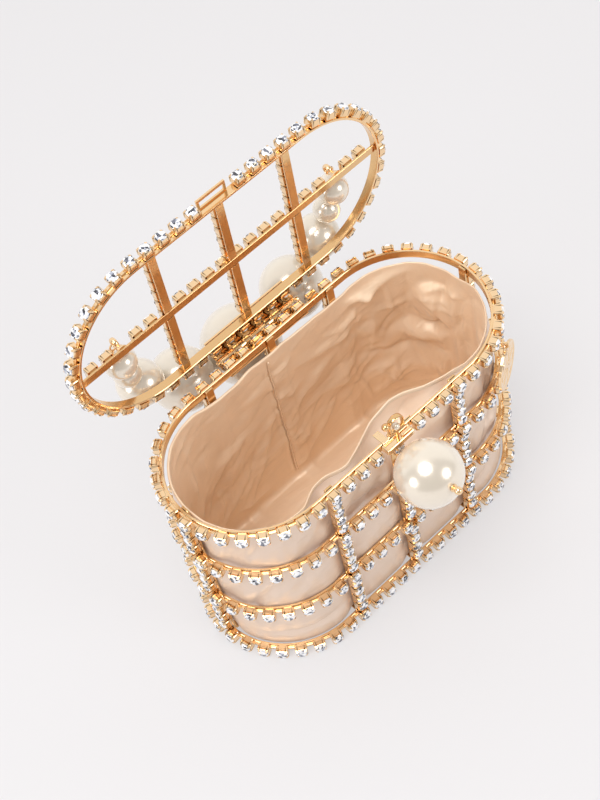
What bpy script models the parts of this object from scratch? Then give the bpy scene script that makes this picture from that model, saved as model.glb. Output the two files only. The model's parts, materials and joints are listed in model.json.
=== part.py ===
"""A small evening clutch built as a gilt cage.

Stadium-shaped bands and flat bars carry rows of stone-set cups. A hinged lid of the same
make stands open, a strand of graded pearls hangs from two eyes on it as the handle, a turn
key at the front rim locks it, and a soft pouch lines the cage. Metres, +Z up, front at -Y.
"""

import math

import bmesh
import bpy
from mathutils import Matrix, Vector

# Bands: their outer faces, and the height of each one's top edge
CAGE_LENGTH = 0.1672
CAGE_WIDTH = 0.0778
BAND_HEIGHT = 0.0042
BAND_WALL = 0.0011
LOWER_RING_TOP = 0.0403
UPPER_RING_TOP = 0.0745
RIM_TOP = 0.1063
ARC_STEPS = 16

# Flat bars inside the bands, and the seat gap between pieces that are brazed together
BAR_WIDTH = 0.0039
BAR_THICKNESS = 0.0010
BAR_SPACING = 0.0360
BAR_END_SETBACK = 0.0002
SEAT_GAP = 0.0003

# Cups, each with its stone: a row of them runs round every band and along every bar
CUP_WIDTH = 0.0055
CUP_HEIGHT = 0.0038
CUP_DEPTH = 0.0046
CUP_PITCH = 0.00815
BAR_CUP_PITCH = 0.0070
CUP_TABLE_SHARE = 0.78
CUP_SINK = 0.0005

# Lid, drawn shut and turned open about its hinge
LID_GAP = 0.0004
LID_BAR_RISE = 0.0013
LID_OPEN_ANGLE = math.radians(88.4)

# Hinge: axis place from the rim's cups, knuckles, leaves and pin
HINGE_LENGTH = 0.0460
HINGE_STANDOFF = 0.0019
HINGE_DROP = 0.0023
KNUCKLE_COUNT = 5
KNUCKLE_RADIUS = 0.0014
KNUCKLE_SPACE = 0.0003
PIN_RADIUS = 0.00055
PIN_CLEARANCE = 0.0003
PIN_HEAD_RADIUS = 0.0012
PIN_HEAD_LENGTH = 0.0006
LEAF_THICKNESS = 0.0009
LEAF_TAB_INSET = 0.0001

# Handle: eyes on the lid's long bar, pearls from the middle outwards, and their wire
EYE_SPAN = 0.1212
EYE_HEIGHT = 0.0058
EYE_HOLE_RADIUS = 0.00115
EYE_WALL = 0.0009
EYE_THICKNESS = 0.0007
END_RING_RADIUS = 0.0018
END_RING_WIRE = 0.00042
END_BEAD_RADIUS = 0.0009
PEARL_DIAMETERS = (0.0382, 0.0306, 0.0218, 0.0128, 0.0147)
PEARL_BORE = 0.0009
PEARL_SPACE = 0.0016
PEARL_REST_GAP = 0.0006
STRAND_WIRE = 0.0004
STRAND_SHARES = (
    (0, 1), (0.34, 0.985), (0.82, 0.73), (0.98, 0.44), (0.97, 0.29), (1.055, 0.1), (1, 0),
)
STRAND_LEAN_SHARES = (0.26, 0.48)

# Clasp: housing on the front rim, turn key in it, slotted catch plate on the lid
HOUSING_LENGTH = 0.0152
HOUSING_DEPTH = 0.0043
HOUSING_HEIGHT = 0.0032
KEY_SHAFT_RADIUS = 0.00075
KEY_CLEARANCE = 0.0003
KEY_HEAD_LENGTH = 0.0084
KEY_HEAD_HEIGHT = 0.0016
KEY_HEAD_THICKNESS = 0.0017
KEY_LIFT = 0.0004
KEY_ARCH_RISE = 0.0086
KEY_ARCH_WIRE = 0.0006
KEY_BALL_RADIUS = 0.0015
KEY_BALL_REACH = 0.0052
KEY_BEAD_RADIUS = 0.0014
WASHER_RADIUS = 0.0016
WASHER_THICKNESS = 0.0006
CATCH_THICKNESS = 0.0009
CATCH_BRIDGE = 0.0006
CATCH_LIP = 0.0013
CATCH_MARGIN = 0.0012
CATCH_SLOT_CLEARANCE = 0.0009
BACK_PLATE_LENGTH = 0.0090
BACK_PLATE_HEIGHT = 0.0062
BACK_PLATE_THICKNESS = 0.0006
RIVET_RADIUS = 0.0006
RIVET_HEAD_RADIUS = 0.0013
RIVET_HEAD_LENGTH = 0.0006

# Knob: one large pearl on a stem that is riveted through the front middle bar
KNOB_DIAMETER = 0.0296
KNOB_REACH = 0.0205
KNOB_DROP = 0.0102
KNOB_TILT = math.radians(16)
KNOB_STEM_RADIUS = 0.0008
KNOB_BALL_RADIUS = 0.0018
KNOB_NECK = 0.0014
STEM_HEAD_RADIUS = 0.0013
STEM_HEAD_LENGTH = 0.0004

# Medallion: plain disc on a lug under the rim, at the front right corner
MEDALLION_RADIUS = 0.0115
MEDALLION_THICKNESS = 0.0010
MEDALLION_BORDER = 0.0012
MEDALLION_ANGLE = math.radians(-61.6)
MEDALLION_CLEARANCE = 0.0008
BAIL_RADIUS = 0.0016
BAIL_WIRE = 0.00045
LUG_THICKNESS = 0.0009
LUG_HOLE_RADIUS = 0.0010
LUG_WALL = 0.0008

# Pouch
POUCH_CLEARANCE = 0.0018
POUCH_WALL = 0.0012
POUCH_DROP = 0.0078
POUCH_CORNER = 0.0060

# Facets, and how far a cutter runs past what it cuts
ROUND_STEPS = 14
FINE_STEPS = 28
PEARL_ARCS = 7
OVERRUN = 0.0010
MERGE = 0.00001

HALF_LENGTH = CAGE_LENGTH / 2
HALF_WIDTH = CAGE_WIDTH / 2
BAR_FACE = HALF_WIDTH - BAND_WALL - SEAT_GAP
END_BAR_FACE = HALF_LENGTH - BAND_WALL - SEAT_GAP
LID_LOW = RIM_TOP + LID_GAP
LID_TOP = LID_LOW + BAND_HEIGHT
HINGE_Y = HALF_WIDTH + CUP_DEPTH + HINGE_STANDOFF
HINGE_Z = RIM_TOP - HINGE_DROP
KEY_Y = -HALF_WIDTH - SEAT_GAP - HOUSING_DEPTH / 2

for leftover in list(bpy.data.objects):
    bpy.data.objects.remove(leftover, do_unlink=True)
parts = bpy.data.collections.new("clutch_bag")
cutters = bpy.data.collections.new("cutters")
for group in (parts, cutters):
    bpy.context.scene.collection.children.link(group)


def finish(name, colour, roughness, metallic):
    """A plain Principled material."""
    made = bpy.data.materials.new(name)
    made.use_nodes = True
    made.diffuse_color = (*colour, 1)
    shader = made.node_tree.nodes["Principled BSDF"]
    shader.inputs["Base Color"].default_value = (*colour, 1)
    shader.inputs["Roughness"].default_value = roughness
    shader.inputs["Metallic"].default_value = metallic
    return made


gilt = finish("gilt", (0.86, 0.58, 0.28), 0.22, 1)
silver = finish("silver", (0.88, 0.87, 0.85), 0.2, 1)
pearl = finish("pearl", (0.90, 0.86, 0.80), 0.25, 0)
satin = finish("satin", (0.78, 0.62, 0.50), 0.5, 0)


def add_object(name, mesh, material, parent=None, place=(0, 0, 0), turn=None):
    """Puts a mesh in the parts collection as a named piece."""
    obj = bpy.data.objects.new(name, mesh)
    mesh.materials.append(material)
    parts.objects.link(obj)
    obj.parent = parent
    obj.location = place
    if turn is not None:
        obj.rotation_mode = "QUATERNION"
        obj.rotation_quaternion = turn
    return obj


def add_tool(shape, parent):
    """A hidden helper solid in the frame of the piece that it joins or cuts."""
    mesh = bpy.data.meshes.new(parent.name + "_tool")
    shape.to_mesh(mesh)
    shape.free()
    tool = bpy.data.objects.new(mesh.name, mesh)
    cutters.objects.link(tool)
    tool.parent = parent
    tool.hide_render = True
    tool.display_type = "WIRE"
    return tool


def combine(obj, operation, *shapes):
    """Joins shapes to a piece with UNION, or cuts them out of it with DIFFERENCE."""
    for shape in shapes:
        boolean = obj.modifiers.new(operation.title(), "BOOLEAN")
        boolean.operation = operation
        boolean.object = add_tool(shape, obj)
    return obj


def frame_matrix(place, along, across, outward):
    """The matrix that carries a shape's X, Y and Z to three directions at a place."""
    turn = Matrix((along, across, outward)).transposed().to_4x4()
    return Matrix.Translation(place) @ turn


def box_shape(low, high):
    """A box between two corners."""
    low, high = Vector(low), Vector(high)
    shape = bmesh.new()
    place = Matrix.Translation((low + high) / 2) @ Matrix.Diagonal((*(high - low), 1))
    bmesh.ops.create_cube(shape, size=1, matrix=place)
    return shape


def rod_shape(start, end, radius, steps=ROUND_STEPS):
    """A cylinder between two points."""
    start, end = Vector(start), Vector(end)
    run = end - start
    turn = run.to_track_quat("Z", "Y").to_matrix().to_4x4()
    shape = bmesh.new()
    bmesh.ops.create_cone(
        shape, cap_ends=True, segments=steps, radius1=radius, radius2=radius,
        depth=run.length, matrix=Matrix.Translation((start + end) / 2) @ turn,
    )
    return shape


def ball_shape(centre, radius, steps=ROUND_STEPS):
    """A sphere."""
    shape = bmesh.new()
    bmesh.ops.create_uvsphere(
        shape, u_segments=steps, v_segments=steps // 2, radius=radius,
        matrix=Matrix.Translation(centre),
    )
    return shape


def ring_shape(centre, axis, radius, wire, steps=ROUND_STEPS):
    """A wire ring round an axis: a small circle spun about it."""
    shape = bmesh.new()
    axis = Vector(axis)
    across = axis.orthogonal().normalized()
    start = frame_matrix(Vector(centre) + radius * across, across, axis, across.cross(axis))
    circle = bmesh.ops.create_circle(shape, segments=ROUND_STEPS // 2, radius=wire, matrix=start)
    edges = list({edge for vertex in circle["verts"] for edge in vertex.link_edges})
    bmesh.ops.spin(
        shape, geom=edges + circle["verts"], cent=centre, axis=axis,
        angle=2 * math.pi, steps=steps, use_merge=True,
    )
    bmesh.ops.recalc_face_normals(shape, faces=shape.faces)
    return shape


def prism_shape(outline, along, length):
    """An outline in its own plane, extruded along a direction and centred on it."""
    along = Vector(along)
    shape = bmesh.new()
    corners = [shape.verts.new(Vector(point) - along * length / 2) for point in outline]
    face = shape.faces.new(corners)
    grown = bmesh.ops.extrude_face_region(shape, geom=[face])["geom"]
    moved = [item for item in grown if isinstance(item, bmesh.types.BMVert)]
    bmesh.ops.translate(shape, verts=moved, vec=along * length)
    bmesh.ops.recalc_face_normals(shape, faces=shape.faces)
    return shape


def solid(name, shape, material, parent=None, place=(0, 0, 0), turn=None):
    """Makes a named piece of a shape."""
    mesh = bpy.data.meshes.new(name)
    shape.to_mesh(mesh)
    shape.free()
    mesh.shade_smooth()
    mesh.set_sharp_from_angle(angle=math.radians(35))
    return add_object(name, mesh, material, parent, place, turn)


def turned(name, profile, material, parent=None, place=(0, 0, 0), turn=None, steps=ROUND_STEPS):
    """A piece turned about its own Z axis from radius and height points, down its outer side."""
    mesh = bpy.data.meshes.new(name)
    count = len(profile)
    loop = profile[0][0] > 0
    edges = [(i, (i + 1) % count) for i in range(count if loop else count - 1)]
    mesh.from_pydata([(radius, 0, height) for radius, height in profile], edges, [])
    obj = add_object(name, mesh, material, parent, place, turn)
    screw = obj.modifiers.new("Turning", "SCREW")
    screw.steps = screw.render_steps = steps
    screw.use_merge_vertices = True
    screw.merge_threshold = MERGE
    return obj


def bead_profile(radius, bore, arcs=PEARL_ARCS):
    """A ball with a bore through it: the arc down its outer side, closed along the bore."""
    start = math.asin(bore / radius)
    angles = [start + (math.pi - 2 * start) * i / arcs for i in range(arcs + 1)]
    return [(radius * math.sin(angle), radius * math.cos(angle)) for angle in angles]


def stadium(half_length, half_width):
    """The outline of a stadium, counterclockwise from the front end of its right arc."""
    straight = half_length - half_width
    points = []
    for side, start in ((1, -math.pi / 2), (-1, math.pi / 2)):
        for i in range(ARC_STEPS + 1):
            angle = start + math.pi * i / ARC_STEPS
            x = side * straight + half_width * math.cos(angle)
            points.append((x, half_width * math.sin(angle)))
    return points


def stadium_place(run):
    """The point and outward direction at a distance along the bands' outer face, from the
    middle of the front towards the right."""
    straight = HALF_LENGTH - HALF_WIDTH
    arc = math.pi * HALF_WIDTH
    side, left = divmod(run + straight, 2 * straight + arc)
    flip = 1 if int(side) % 2 == 0 else -1
    if left <= 2 * straight:
        return Vector((flip * (left - straight), -flip * HALF_WIDTH, 0)), Vector((0, -flip, 0))
    angle = (left - 2 * straight) / HALF_WIDTH
    outward = flip * Vector((math.sin(angle), -math.cos(angle), 0))
    return Vector((flip * straight, 0, 0)) + HALF_WIDTH * outward, outward


def add_cup(shape, seat, along, outward):
    """One cup with its stone: a square taper that stands on a seat and sinks a little into it."""
    across = outward.cross(along)
    depth = CUP_DEPTH + CUP_SINK
    place = frame_matrix(seat + outward * (depth / 2 - CUP_SINK), along, across, outward)
    spread = Matrix.Diagonal((CUP_WIDTH, CUP_HEIGHT, 1, 1))
    bmesh.ops.create_cone(
        shape, cap_ends=True, segments=4, radius1=math.sqrt(0.5),
        radius2=math.sqrt(0.5) * CUP_TABLE_SHARE, depth=depth,
        matrix=place @ spread @ Matrix.Rotation(math.pi / 4, 4, "Z"),
    )


def set_cups(obj, places, along, outward):
    """Joins a straight row of cups to a bar."""
    shape = bmesh.new()
    for place in places:
        add_cup(shape, Vector(place), Vector(along), Vector(outward))
    return combine(obj, "UNION", shape)


def band(name, top, open_front, parent=None):
    """A stadium band with its row of cups. An open front leaves out the two middle ones."""
    outline = stadium(HALF_LENGTH, HALF_WIDTH)
    count = len(outline)
    points = [(x, y, z) for z in (top - BAND_HEIGHT, top) for x, y in outline]
    faces = [
        (i, (i + 1) % count, count + (i + 1) % count, count + i) for i in range(count)
    ]
    mesh = bpy.data.meshes.new(name)
    mesh.from_pydata(points, [], faces)
    obj = add_object(name, mesh, gilt, parent)
    wall = obj.modifiers.new("Wall", "SOLIDIFY")
    wall.thickness = BAND_WALL
    wall.offset = -1
    wall.use_even_offset = True
    shape = bmesh.new()
    around = 4 * (HALF_LENGTH - HALF_WIDTH) + 2 * math.pi * HALF_WIDTH
    cups = 2 * round(around / CUP_PITCH / 2)
    for i in range(cups):
        if open_front and i in (0, cups - 1):
            continue
        seat, outward = stadium_place((i + 0.5) * around / cups)
        seat.z = top - BAND_HEIGHT / 2
        add_cup(shape, seat, Vector((0, 0, 1)).cross(outward), outward)
    return combine(obj, "UNION", shape)


def between(low, high, pitch):
    """Evenly spaced places between two others, about a pitch apart, without the ends."""
    count = max(round((high - low) / pitch), 2)
    return [low + (high - low) * i / count for i in range(1, count)]


# Cage: four bands, eight upright bars inside them and the floor's lattice
def build_cage():
    ring_tops = (BAND_HEIGHT, LOWER_RING_TOP, UPPER_RING_TOP, RIM_TOP)
    names = ("ring_bottom", "ring_lower", "ring_upper", "ring_rim")
    rings = {name: band(name, top, name == "ring_rim") for name, top in zip(names, ring_tops)}
    levels = [top - BAND_HEIGHT / 2 for top in ring_tops]
    heights = [z for pair in zip(levels, levels[1:]) for z in between(*pair, BAR_CUP_PITCH)]
    length = RIM_TOP - BAR_END_SETBACK
    uprights = {
        f"{side}_bar_{name}": (i * BAR_SPACING, sign * (BAR_FACE - BAR_THICKNESS / 2), (0, sign, 0))
        for side, sign in (("front", -1), ("back", 1))
        for i, name in ((-1, "left"), (0, "middle"), (1, "right"))
    }
    for side, sign in (("left", -1), ("right", 1)):
        uprights[f"end_bar_{side}"] = (sign * (END_BAR_FACE - BAR_THICKNESS / 2), 0, (sign, 0, 0))
    bars = {}
    for name, (x, y, outward) in uprights.items():
        outward = Vector(outward)
        along = Vector((0, 0, 1)).cross(outward)
        corner = along * BAR_WIDTH / 2 + outward * BAR_THICKNESS / 2
        corner = Vector(map(abs, corner)) + Vector((0, 0, length / 2))
        bars[name] = solid(name, box_shape(-corner, corner), gilt, None, (x, y, length / 2))
        free = list(heights)
        if name == "front_bar_middle":
            free = [z for z in heights if abs(z - stem_height()) > CUP_WIDTH]
            free[-1] = length - HOUSING_HEIGHT - key_end() - SEAT_GAP - CUP_WIDTH / 2
        seats = [outward * BAR_THICKNESS / 2 + Vector((0, 0, z - length / 2)) for z in free]
        set_cups(bars[name], seats, (0, 0, 1), outward)
    build_floor()
    return rings, bars


def build_floor():
    """One long bar that the bag rests on, and three bars across it."""
    half_run = END_BAR_FACE - BAR_THICKNESS - SEAT_GAP
    size = Vector((half_run, BAR_WIDTH / 2, BAR_THICKNESS / 2))
    solid("floor_bar_long", box_shape(-size, size), gilt, None, (0, 0, BAR_THICKNESS / 2))
    half_run = BAR_FACE - BAR_THICKNESS - SEAT_GAP
    size = Vector((BAR_WIDTH / 2, half_run, BAR_THICKNESS / 2))
    height = 1.5 * BAR_THICKNESS + SEAT_GAP
    for i, name in ((-1, "left"), (0, "middle"), (1, "right")):
        place = (i * BAR_SPACING, 0, height)
        solid(f"floor_bar_{name}", box_shape(-size, size), gilt, None, place)


def build_pouch():
    """The lining: a soft tub that stands on the floor bars, open at the top."""
    floor = 2 * BAR_THICKNESS + 2 * SEAT_GAP
    half_width = BAR_FACE - BAR_THICKNESS - POUCH_CLEARANCE
    half_length = END_BAR_FACE - BAR_THICKNESS - POUCH_CLEARANCE
    loops = (
        (POUCH_CORNER, floor),
        (POUCH_CORNER / 4, floor + POUCH_CORNER / 4),
        (0, floor + POUCH_CORNER),
        (0, RIM_TOP - POUCH_DROP),
    )
    points = []
    for inset, z in loops:
        points += [(x, y, z) for x, y in stadium(half_length - inset, half_width - inset)]
    count = len(points) // len(loops)
    faces = [tuple(reversed(range(count)))]
    for row in range(len(loops) - 1):
        low, high = row * count, (row + 1) * count
        faces += [
            (low + i, low + (i + 1) % count, high + (i + 1) % count, high + i)
            for i in range(count)
        ]
    mesh = bpy.data.meshes.new("pouch")
    mesh.from_pydata(points, [], faces)
    mesh.shade_smooth()
    pouch = add_object("pouch", mesh, satin)
    wall = pouch.modifiers.new("Wall", "SOLIDIFY")
    wall.thickness = POUCH_WALL
    wall.offset = -1
    return pouch


def lid_point(x, y, z):
    """A place on the shut lid, from the hinge's axis."""
    return Vector((x, y - HINGE_Y, z - HINGE_Z))


# Lid: a band like the cage's, a long bar and six half bars across, all on the hinge's empty
def build_lid(pivot):
    top = LID_TOP - HINGE_Z
    ring = band("lid_ring", top, True, pivot)
    ring.location = (0, -HINGE_Y, 0)
    low = LID_LOW + LID_BAR_RISE
    middle = low + BAR_THICKNESS / 2
    up = Vector((0, 0, 1))
    size = Vector((END_BAR_FACE, BAR_WIDTH / 2, BAR_THICKNESS / 2))
    long_bar = solid("lid_bar_long", box_shape(-size, size), gilt, pivot, lid_point(0, 0, middle))
    eye = EYE_SPAN / 2
    seats = [x for x in between(-HALF_LENGTH, HALF_LENGTH, CUP_PITCH) if abs(abs(x) - eye) > CUP_WIDTH]
    set_cups(long_bar, [(x, 0, BAR_THICKNESS / 2) for x in seats], (1, 0, 0), up)
    start = BAR_WIDTH / 2 + SEAT_GAP
    half_run = (BAR_FACE - start) / 2
    for side, sign in (("front", -1), ("back", 1)):
        for i, name in ((-1, "left"), (0, "middle"), (1, "right")):
            size = Vector((BAR_WIDTH / 2, half_run, BAR_THICKNESS / 2))
            place = lid_point(i * BAR_SPACING, sign * (start + half_run), middle)
            bar = solid(f"lid_bar_{side}_{name}", box_shape(-size, size), gilt, pivot, place)
            offsets = [y - start - half_run for y in between(0, HALF_WIDTH, BAR_CUP_PITCH)]
            set_cups(bar, [(0, sign * y, BAR_THICKNESS / 2) for y in offsets], (0, 1, 0), up)
    build_eyes(pivot, low + BAR_THICKNESS)
    build_catch(pivot)


def build_eyes(pivot, seat):
    """Two upright eyes on the lid's long bar, which the handle's end rings pass through."""
    for side, sign in (("left", -1), ("right", 1)):
        outer = EYE_HOLE_RADIUS + EYE_WALL
        half = Vector((EYE_THICKNESS / 2, 0, 0))
        foot = box_shape(
            -half - Vector((0, outer, EYE_HEIGHT - SEAT_GAP)),
            half + Vector((0, outer, -EYE_HOLE_RADIUS - EYE_WALL / 2)),
        )
        place = lid_point(sign * EYE_SPAN / 2, 0, seat + EYE_HEIGHT)
        eye = solid(f"handle_eye_{side}", rod_shape(-half, half, outer), gilt, pivot, place)
        reach = half + Vector((OVERRUN, 0, 0))
        combine(eye, "UNION", foot)
        combine(eye, "DIFFERENCE", rod_shape(-reach, reach, EYE_HOLE_RADIUS))


def build_catch(pivot):
    """The slotted plate at the lid's front, which drops over the turn key."""
    low, high = key_span()
    low -= CATCH_SLOT_CLEARANCE
    high += CATCH_SLOT_CLEARANCE
    inner = -HALF_WIDTH - SEAT_GAP
    slot_inner = inner - CATCH_BRIDGE
    slot_outer = KEY_Y - KEY_HEAD_THICKNESS / 2 - CATCH_SLOT_CLEARANCE
    bottom = LID_TOP - CATCH_THICKNESS
    plate = box_shape(
        lid_point(low - CATCH_MARGIN, slot_outer - CATCH_LIP, bottom),
        lid_point(high + CATCH_MARGIN, inner, LID_TOP),
    )
    slot = box_shape(
        lid_point(low, slot_outer, bottom - OVERRUN), lid_point(high, slot_inner, LID_TOP + OVERRUN)
    )
    combine(solid("catch_plate", plate, gilt, pivot), "DIFFERENCE", slot)


def knuckle_ranges():
    """Where each knuckle starts and ends along the hinge."""
    pitch = HINGE_LENGTH / KNUCKLE_COUNT
    starts = [-HINGE_LENGTH / 2 + i * pitch for i in range(KNUCKLE_COUNT)]
    return [(x + KNUCKLE_SPACE / 2, x + pitch - KNUCKLE_SPACE / 2) for x in starts]


def hinge_leaf(name, shelf_near, shelf_far, ranges, parent=None):
    """An angled leaf in the frame of the hinge's axis: a shelf that is brazed to a band, a
    web outside the cups, and knuckles. The shelf runs between two heights from the axis."""
    inner = HALF_WIDTH - BAND_WALL - HINGE_Y
    web = math.copysign(KNUCKLE_RADIUS + KNUCKLE_SPACE, shelf_far)
    angle = [
        (0, web), (0, shelf_far), (inner, shelf_far), (inner, shelf_near),
        (-LEAF_THICKNESS, shelf_near), (-LEAF_THICKNESS, web),
    ]
    outline = [(0, y, z) for y, z in angle]
    leaf = solid(name, prism_shape(outline, (1, 0, 0), HINGE_LENGTH), gilt, parent)
    if parent is None:
        leaf.location = (0, HINGE_Y, HINGE_Z)
    for start, end in ranges:
        heights = sorted((0, web + math.copysign(LEAF_THICKNESS, web)))
        tab = box_shape(
            (start + LEAF_TAB_INSET, LEAF_TAB_INSET - LEAF_THICKNESS, heights[0]),
            (end - LEAF_TAB_INSET, -LEAF_TAB_INSET, heights[1]),
        )
        combine(leaf, "UNION", tab, rod_shape((start, 0, 0), (end, 0, 0), KNUCKLE_RADIUS))
    reach = HINGE_LENGTH / 2 + OVERRUN
    bore = rod_shape((-reach, 0, 0), (reach, 0, 0), PIN_RADIUS + PIN_CLEARANCE)
    return combine(leaf, "DIFFERENCE", bore)


# Hinge: a lower leaf under the rim, an upper leaf over the lid's band, and one long pin
def build_hinge(pivot):
    ranges = knuckle_ranges()
    under = RIM_TOP - BAND_HEIGHT - SEAT_GAP - HINGE_Z
    over = LID_TOP + SEAT_GAP - HINGE_Z
    hinge_leaf("hinge_leaf_lower", under, under - LEAF_THICKNESS, ranges[::2])
    hinge_leaf("hinge_leaf_upper", over, over + LEAF_THICKNESS, ranges[1::2], pivot)
    half = HINGE_LENGTH / 2 + SEAT_GAP
    profile = [
        (0, half + PIN_HEAD_LENGTH), (PIN_HEAD_RADIUS, half + PIN_HEAD_LENGTH),
        (PIN_HEAD_RADIUS, half), (PIN_RADIUS, half),
    ]
    profile += [(radius, -height) for radius, height in reversed(profile)]
    turn = Vector((1, 0, 0)).to_track_quat("Z", "Y")
    turned("hinge_pin", profile, gilt, None, (0, HINGE_Y, HINGE_Z), turn)


def spline(points, steps=12):
    """A smooth run through points: uniform Catmull-Rom, its ends carried on straight."""
    points = [2 * points[0] - points[1], *points, 2 * points[-1] - points[-2]]
    run = []
    for a, b, c, d in zip(points, points[1:], points[2:], points[3:]):
        for i in range(steps):
            t = i / steps
            run.append(
                ((2 * b) + (c - a) * t + (2 * a - 5 * b + 4 * c - d) * t**2
                 + (3 * b - a - 3 * c + d) * t**3) / 2
            )
    return [*run, points[-2]]


def strand_run(depth):
    """The right half of the strand's route, from its lowest point up to the eye at its end.
    It hangs in the plane of the eyes and leans out further down, to rest on the cage's back."""
    lean = strand_lean(depth)
    begin, full = STRAND_LEAN_SHARES
    points = []
    for across, down in STRAND_SHARES:
        t = min(max((down - begin) / (full - begin), 0), 1)
        points.append(Vector((across * EYE_SPAN / 2, lean * t * t * (3 - 2 * t), -down * depth)))
    mirrored = Vector((-points[1].x, points[1].y, points[1].z))
    smooth = spline([mirrored, *points])
    return [point for point in smooth if point.x >= 0]


def strand_lean(depth):
    """How far out from the eyes the middle pearl hangs when it rests on the cage's back or,
    where it hangs higher, on the lower edge of the open lid."""
    reach = PEARL_REST_GAP + PEARL_DIAMETERS[0] / 2
    edge = opened(lid_point(0, HALF_WIDTH + CUP_DEPTH, LID_TOP))
    below = min(max(edge.z - eye_place().z + depth, 0), reach)
    beside_lid = edge.y + math.sqrt(reach**2 - below**2)
    return max(HALF_WIDTH + CUP_DEPTH + reach, beside_lid) - eye_place().y


def strand_joints(depth):
    """Where the pearls' holes meet along the right half, for a strand that hangs this deep,
    and how much of the route is left between the last pearl and the eye."""
    run = strand_run(depth)
    half_link = (PEARL_DIAMETERS[0] + PEARL_SPACE) / 2
    at = next(i for i, point in enumerate(run) if point.x > half_link)
    joints = [Vector((half_link, run[at].y, run[at].z))]
    for diameter in PEARL_DIAMETERS[1:]:
        while at < len(run) - 1 and (run[at] - joints[-1]).length < diameter + PEARL_SPACE:
            at += 1
        way = (run[at] - joints[-1]).normalized()
        joints.append(joints[-1] + way * (diameter + PEARL_SPACE))
    return joints, joints[-1].length if at == len(run) - 1 else (run[-1] - joints[-1]).length


def end_length():
    """From the eye's axis down to the first pearl's link, past the end ring and its bead."""
    bead = 2 * END_RING_RADIUS + END_RING_WIRE + 2 * END_BEAD_RADIUS - END_RING_WIRE / 2
    return bead + SEAT_GAP


def hang_strand():
    """The strand's joints when its pearls just fill it from eye to eye. Halving finds how
    deep it hangs."""
    shallow = PEARL_DIAMETERS[0]
    deep = sum(PEARL_DIAMETERS)
    for _ in range(40):
        depth = (shallow + deep) / 2
        joints, left = strand_joints(depth)
        if left > end_length() and joints[-1].z < 0:
            deep = depth
        else:
            shallow = depth
    return joints


def opened(point):
    """Where a place on the shut lid comes to when the lid stands open."""
    return Vector((0, HINGE_Y, HINGE_Z)) + Matrix.Rotation(-LID_OPEN_ANGLE, 3, "X") @ point


def eye_place():
    """The right eye's centre with the lid open."""
    seat = LID_LOW + LID_BAR_RISE + BAR_THICKNESS
    return opened(lid_point(EYE_SPAN / 2, 0, seat + EYE_HEIGHT))


# Handle: nine graded pearls on one wire, with an end ring through each eye
def build_handle():
    eye = eye_place()
    pivot = bpy.data.objects.new("handle_axis", None)
    parts.objects.link(pivot)
    pivot.location = (0, eye.y, eye.z)
    right = hang_strand()
    flip = Matrix.Diagonal((-1, 1, 1))
    joints = [flip @ joint for joint in reversed(right)] + right
    diameters = [*reversed(PEARL_DIAMETERS[1:]), *PEARL_DIAMETERS]
    for number, (diameter, low, high) in enumerate(zip(diameters, joints, joints[1:]), 1):
        profile = bead_profile(diameter / 2, PEARL_BORE)
        turn = (high - low).to_track_quat("Z", "Y")
        turned(f"handle_pearl_{number}", profile, pearl, pivot, (low + high) / 2, turn)
    wire_ends = []
    for side, hole, joint in (("left", flip @ right_eye(), joints[0]), ("right", right_eye(), joints[-1])):
        down = (joint - hole).normalized()
        centre = hole + down * END_RING_RADIUS
        facing = down.cross(Vector((0, 1, 0))).cross(down)
        ring = ring_shape(centre, facing.normalized(), END_RING_RADIUS, END_RING_WIRE)
        bead = 2 * END_RING_RADIUS + END_RING_WIRE / 2 + END_BEAD_RADIUS
        end = solid(f"handle_end_{side}", ring, gilt, pivot)
        combine(end, "UNION", ball_shape(hole + down * bead, END_BEAD_RADIUS))
        wire_ends.append(hole + down * (bead + END_BEAD_RADIUS + SEAT_GAP))
    wire = wire_shape([wire_ends[0], *joints, wire_ends[1]], STRAND_WIRE)
    solid("handle_wire", wire, gilt, pivot)


def right_eye():
    """The right eye's centre from the handle's axis."""
    return Vector((EYE_SPAN / 2, 0, 0))


def wire_shape(points, radius):
    """A round wire along a run of points, with its ends closed."""
    curve = bpy.data.curves.new("wire", "CURVE")
    curve.dimensions = "3D"
    curve.bevel_depth = radius
    curve.bevel_resolution = 2
    curve.use_fill_caps = True
    line = curve.splines.new("POLY")
    line.points.add(len(points) - 1)
    for place, point in zip(line.points, points):
        place.co = (*point, 1)
    guide = bpy.data.objects.new("wire_guide", curve)
    mesh = bpy.data.meshes.new_from_object(guide)
    bpy.data.objects.remove(guide)
    shape = bmesh.new()
    shape.from_mesh(mesh)
    bmesh.ops.remove_doubles(shape, verts=shape.verts, dist=MERGE)
    bmesh.ops.recalc_face_normals(shape, faces=shape.faces)
    return shape


def key_span():
    """How far the turn key's head reaches to the left and right of its shaft."""
    return -KEY_BALL_REACH - KEY_BALL_RADIUS, KEY_HEAD_LENGTH / 2


# Clasp: a housing outside the rim and a plate inside it, held by one rivet, and the turn key
def build_clasp(rim):
    top = RIM_TOP - BAR_END_SETBACK
    outer = -HALF_WIDTH - SEAT_GAP - HOUSING_DEPTH
    low = Vector((-HOUSING_LENGTH / 2, outer, top - HOUSING_HEIGHT))
    high = Vector((HOUSING_LENGTH / 2, outer + HOUSING_DEPTH, top))
    housing = solid("clasp_housing", box_shape(low, high), gilt)
    shaft_low = Vector((0, KEY_Y, low.z - OVERRUN))
    shaft_high = Vector((0, KEY_Y, top + OVERRUN))
    combine(housing, "DIFFERENCE", rod_shape(shaft_low, shaft_high, KEY_SHAFT_RADIUS + KEY_CLEARANCE))
    build_rivet(rim, housing)
    key = bpy.data.objects.new("turn_key_axis", None)
    parts.objects.link(key)
    key.location = (0, KEY_Y, LID_TOP + KEY_LIFT)
    build_turn_key(key, low.z - LID_TOP - KEY_LIFT)


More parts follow.
